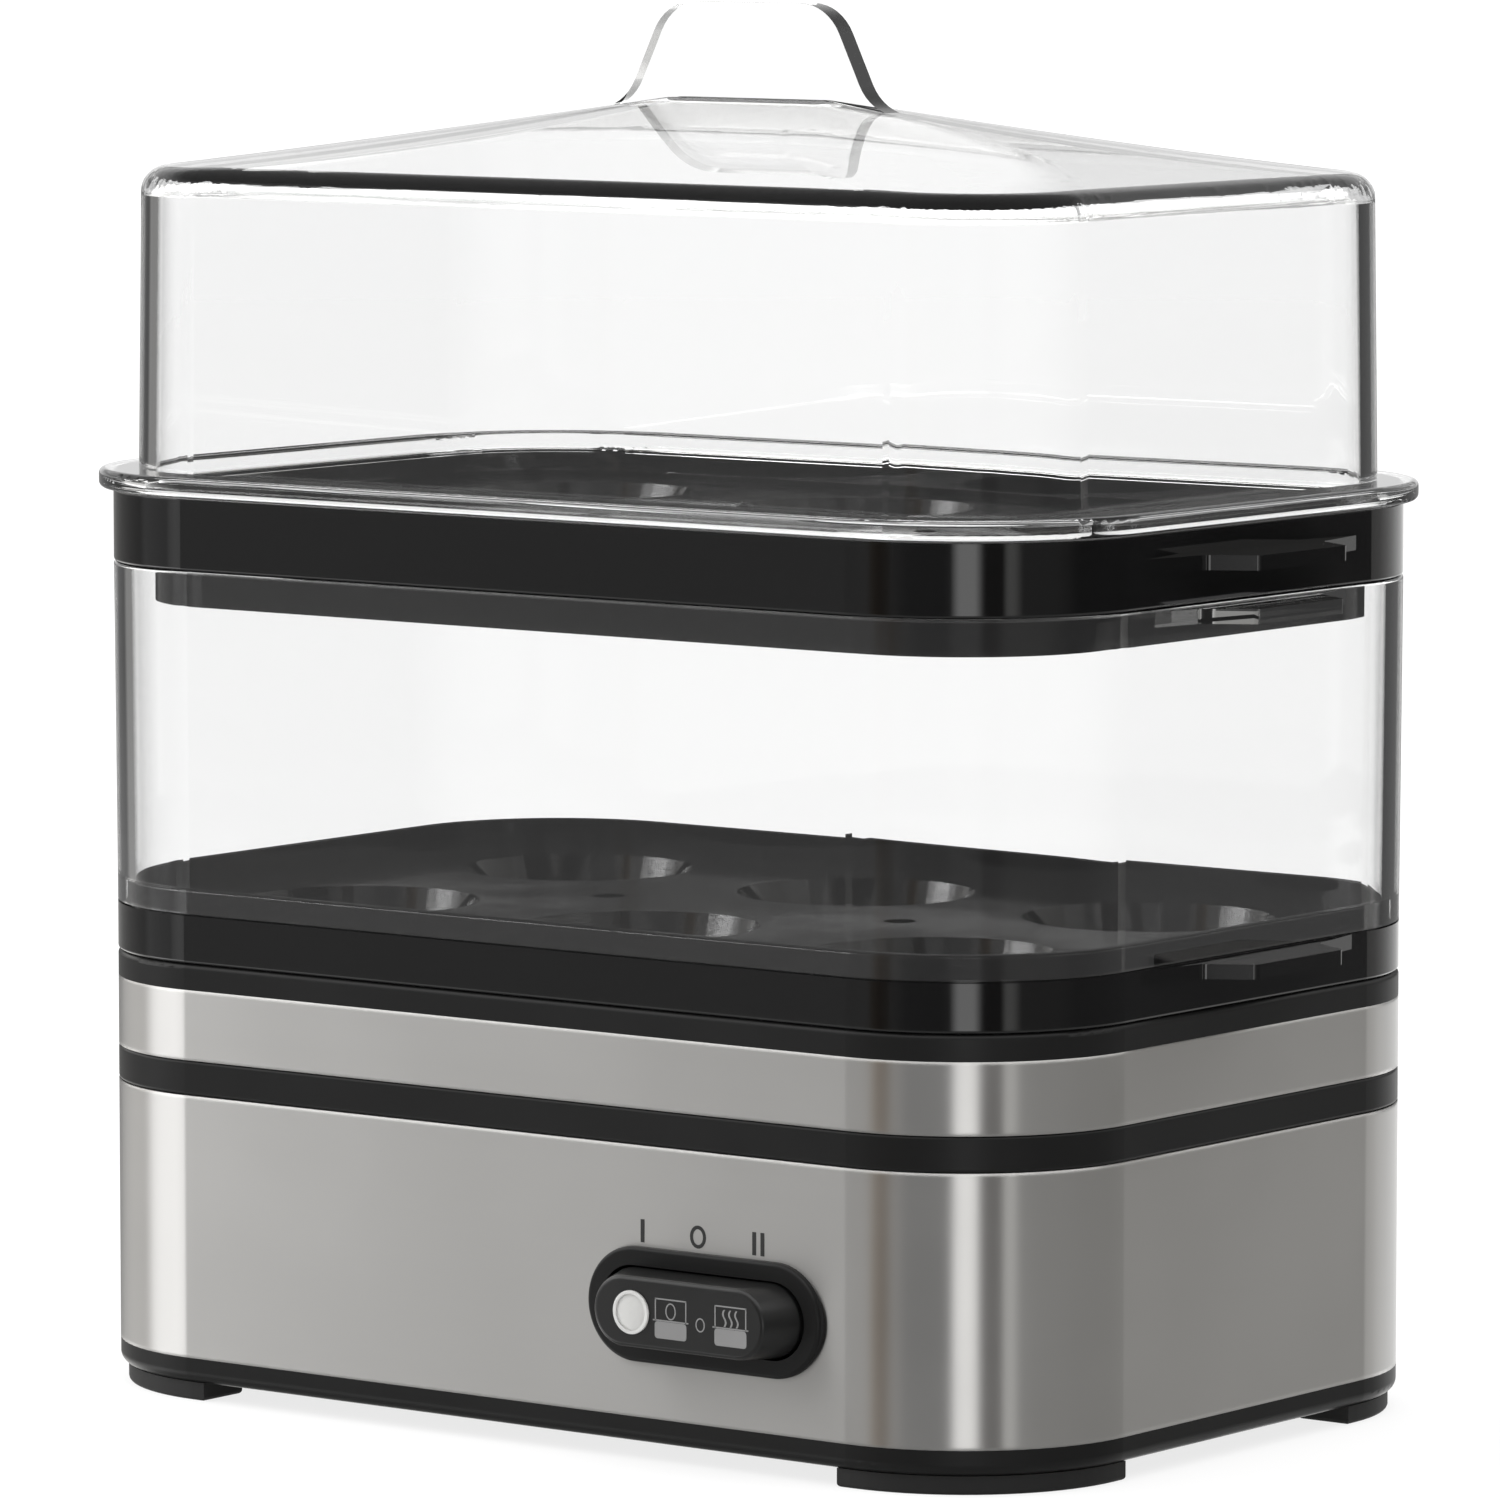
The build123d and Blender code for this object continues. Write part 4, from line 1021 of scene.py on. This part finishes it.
@dataclass(frozen=True)
class Studio:
    """Camera, surroundings, lamps and floor. Angles are in degrees."""

    azimuth: float = 37.229
    elevation: float = 5.916
    distance: float = 1.467959
    aim_height: float = 0.10019
    shift_right: float = -0.00046
    shift_up: float = -0.00190
    sensor: float = 36.0
    lens: float = 232.15
    floor_radius: float = 3.0
    floor_sides: int = 96
    floor_colour: Colour = (0.92, 0.92, 0.92)
    floor_glow: float = 0.8
    background: float = 1.13
    lamps: tuple[Lamp, ...] = (Lamp("key", -50.0, 0.9, 1.0, 9.0), Lamp("fill", 100.0, 0.7, 0.8, 0.6))

    def build(self) -> None:
        """Builds the whole studio."""
        self.camera()
        self.world()
        self.floor()
        for lamp in self.lamps:
            lamp.build(Vector((0, 0, self.aim_height)))

    def camera(self) -> None:
        """Sets the camera at the viewing angle."""
        turn, tilt = math.radians(self.azimuth), math.radians(self.elevation)
        back = Vector((math.sin(turn) * math.cos(tilt), -math.cos(turn) * math.cos(tilt), math.sin(tilt)))
        right = Vector((math.cos(turn), math.sin(turn), 0.0))
        up = back.cross(right)
        offset = back * self.distance + right * self.shift_right + up * self.shift_up
        place = Vector((0, 0, self.aim_height)) + offset
        data = bpy.data.cameras.new("camera")
        data.sensor_width = self.sensor
        data.lens = self.lens
        camera = bpy.data.objects.new("camera", data)
        axes = Matrix((right, up, back)).transposed().to_4x4()
        camera.matrix_world = Matrix.Translation(place) @ axes
        bpy.context.scene.collection.objects.link(camera)
        bpy.context.scene.camera = camera

    def world(self) -> None:
        """Makes the surroundings: white to look at or through, a softbox studio to reflect."""
        world = bpy.data.worlds.new("studio")
        bpy.context.scene.world = world
        world.use_nodes = True
        world.node_tree.nodes.clear()
        nodes = Nodes(world.node_tree)
        direction = nodes.add("TexCoord").outputs["Generated"]
        studio = nodes.add("Background")
        nodes.put(studio.inputs["Color"], Surroundings().build(nodes, direction))
        white = nodes.add("Background")
        white.inputs["Color"].default_value = WHITE
        white.inputs["Strength"].default_value = self.background
        shown = nodes.pick(self.seen_straight(nodes), studio.outputs[0], white.outputs[0])
        nodes.put(nodes.add("OutputWorld").inputs[0], shown)

    @staticmethod
    def seen_straight(nodes: Nodes) -> bpy.types.NodeSocket:
        """Finds the rays from the camera that have met nothing, or only clear pieces.

        Args:
            nodes: the nodes of the world or of a material.

        Returns:
            1 for such a ray, 0 for any other.
        """
        path = nodes.add("LightPath")
        unreflected = nodes.math("LESS_THAN", path.outputs["Glossy Depth"], 0.5)
        through = nodes.math("MULTIPLY", path.outputs["Is Transmission Ray"], unreflected)
        return nodes.math("MAXIMUM", path.outputs["Is Camera Ray"], through)

    def floor(self) -> None:
        """Lays the pale floor, which fades into the white background and hides nothing from below."""
        mesh = bmesh.new()
        bmesh.ops.create_circle(mesh, cap_ends=True, radius=self.floor_radius,
                                segments=self.floor_sides)
        floor = add_object("floor", mesh)
        material = bpy.data.materials.new("pale_floor")
        material.use_nodes = True
        material.node_tree.nodes.clear()
        nodes = Nodes(material.node_tree)
        diffuse = nodes.add("BsdfDiffuse")
        diffuse.inputs["Color"].default_value = (*self.floor_colour, 1.0)
        glow = nodes.add("Emission")
        glow.inputs["Color"].default_value = WHITE
        share = nodes.math("MULTIPLY", self.seen_straight(nodes), self.floor_glow)
        lit = nodes.pick(share, diffuse.outputs[0], glow.outputs[0])
        reflected = nodes.math("GREATER_THAN", nodes.add("LightPath").outputs["Glossy Depth"], 0.5)
        below = nodes.add("NewGeometry").outputs["Backfacing"]
        clear = nodes.add("BsdfTransparent")
        shown = nodes.pick(nodes.math("MAXIMUM", reflected, below), lit, clear.outputs[0])
        nodes.put(nodes.add("OutputMaterial").inputs[0], shown)
        floor.data.materials.append(material)
        floor.visible_glossy = False


def finished(name: str, mesh: bmesh.types.BMesh, finish: Finish, body: str) -> bpy.types.Object:
    """Makes a modelled piece and sets it on the empty of its moving body.

    Args:
        name: the piece's name.
        mesh: its shape, in place.
        finish: its finish.
        body: the moving body that it rides on.

    Returns:
        The piece.
    """
    piece = add_object(name, mesh)
    piece.data.materials.append(finish.material())
    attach(piece, body)
    log.info("piece %s has %d faces and rides on %s", name, len(piece.data.polygons), body)
    return piece


def add_object(name: str, mesh: bmesh.types.BMesh) -> bpy.types.Object:
    """Makes an object at the origin from a bmesh, which it frees.

    Args:
        name: the object's name.
        mesh: its shape, in place.

    Returns:
        The linked object.
    """
    data = bpy.data.meshes.new(name)
    mesh.to_mesh(data)
    mesh.free()
    thing = bpy.data.objects.new(name, data)
    bpy.context.scene.collection.objects.link(thing)
    return thing


def main() -> None:
    """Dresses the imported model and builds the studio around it."""
    logging.basicConfig(level=logging.INFO, format="%(name)s: %(message)s")
    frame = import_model()
    bpy.context.scene.view_settings.view_transform = "Standard"
    dress_nodes(frame["nodes"])
    SwitchMarks().build()
    Studio().build()


if __name__ == "__main__":
    main()
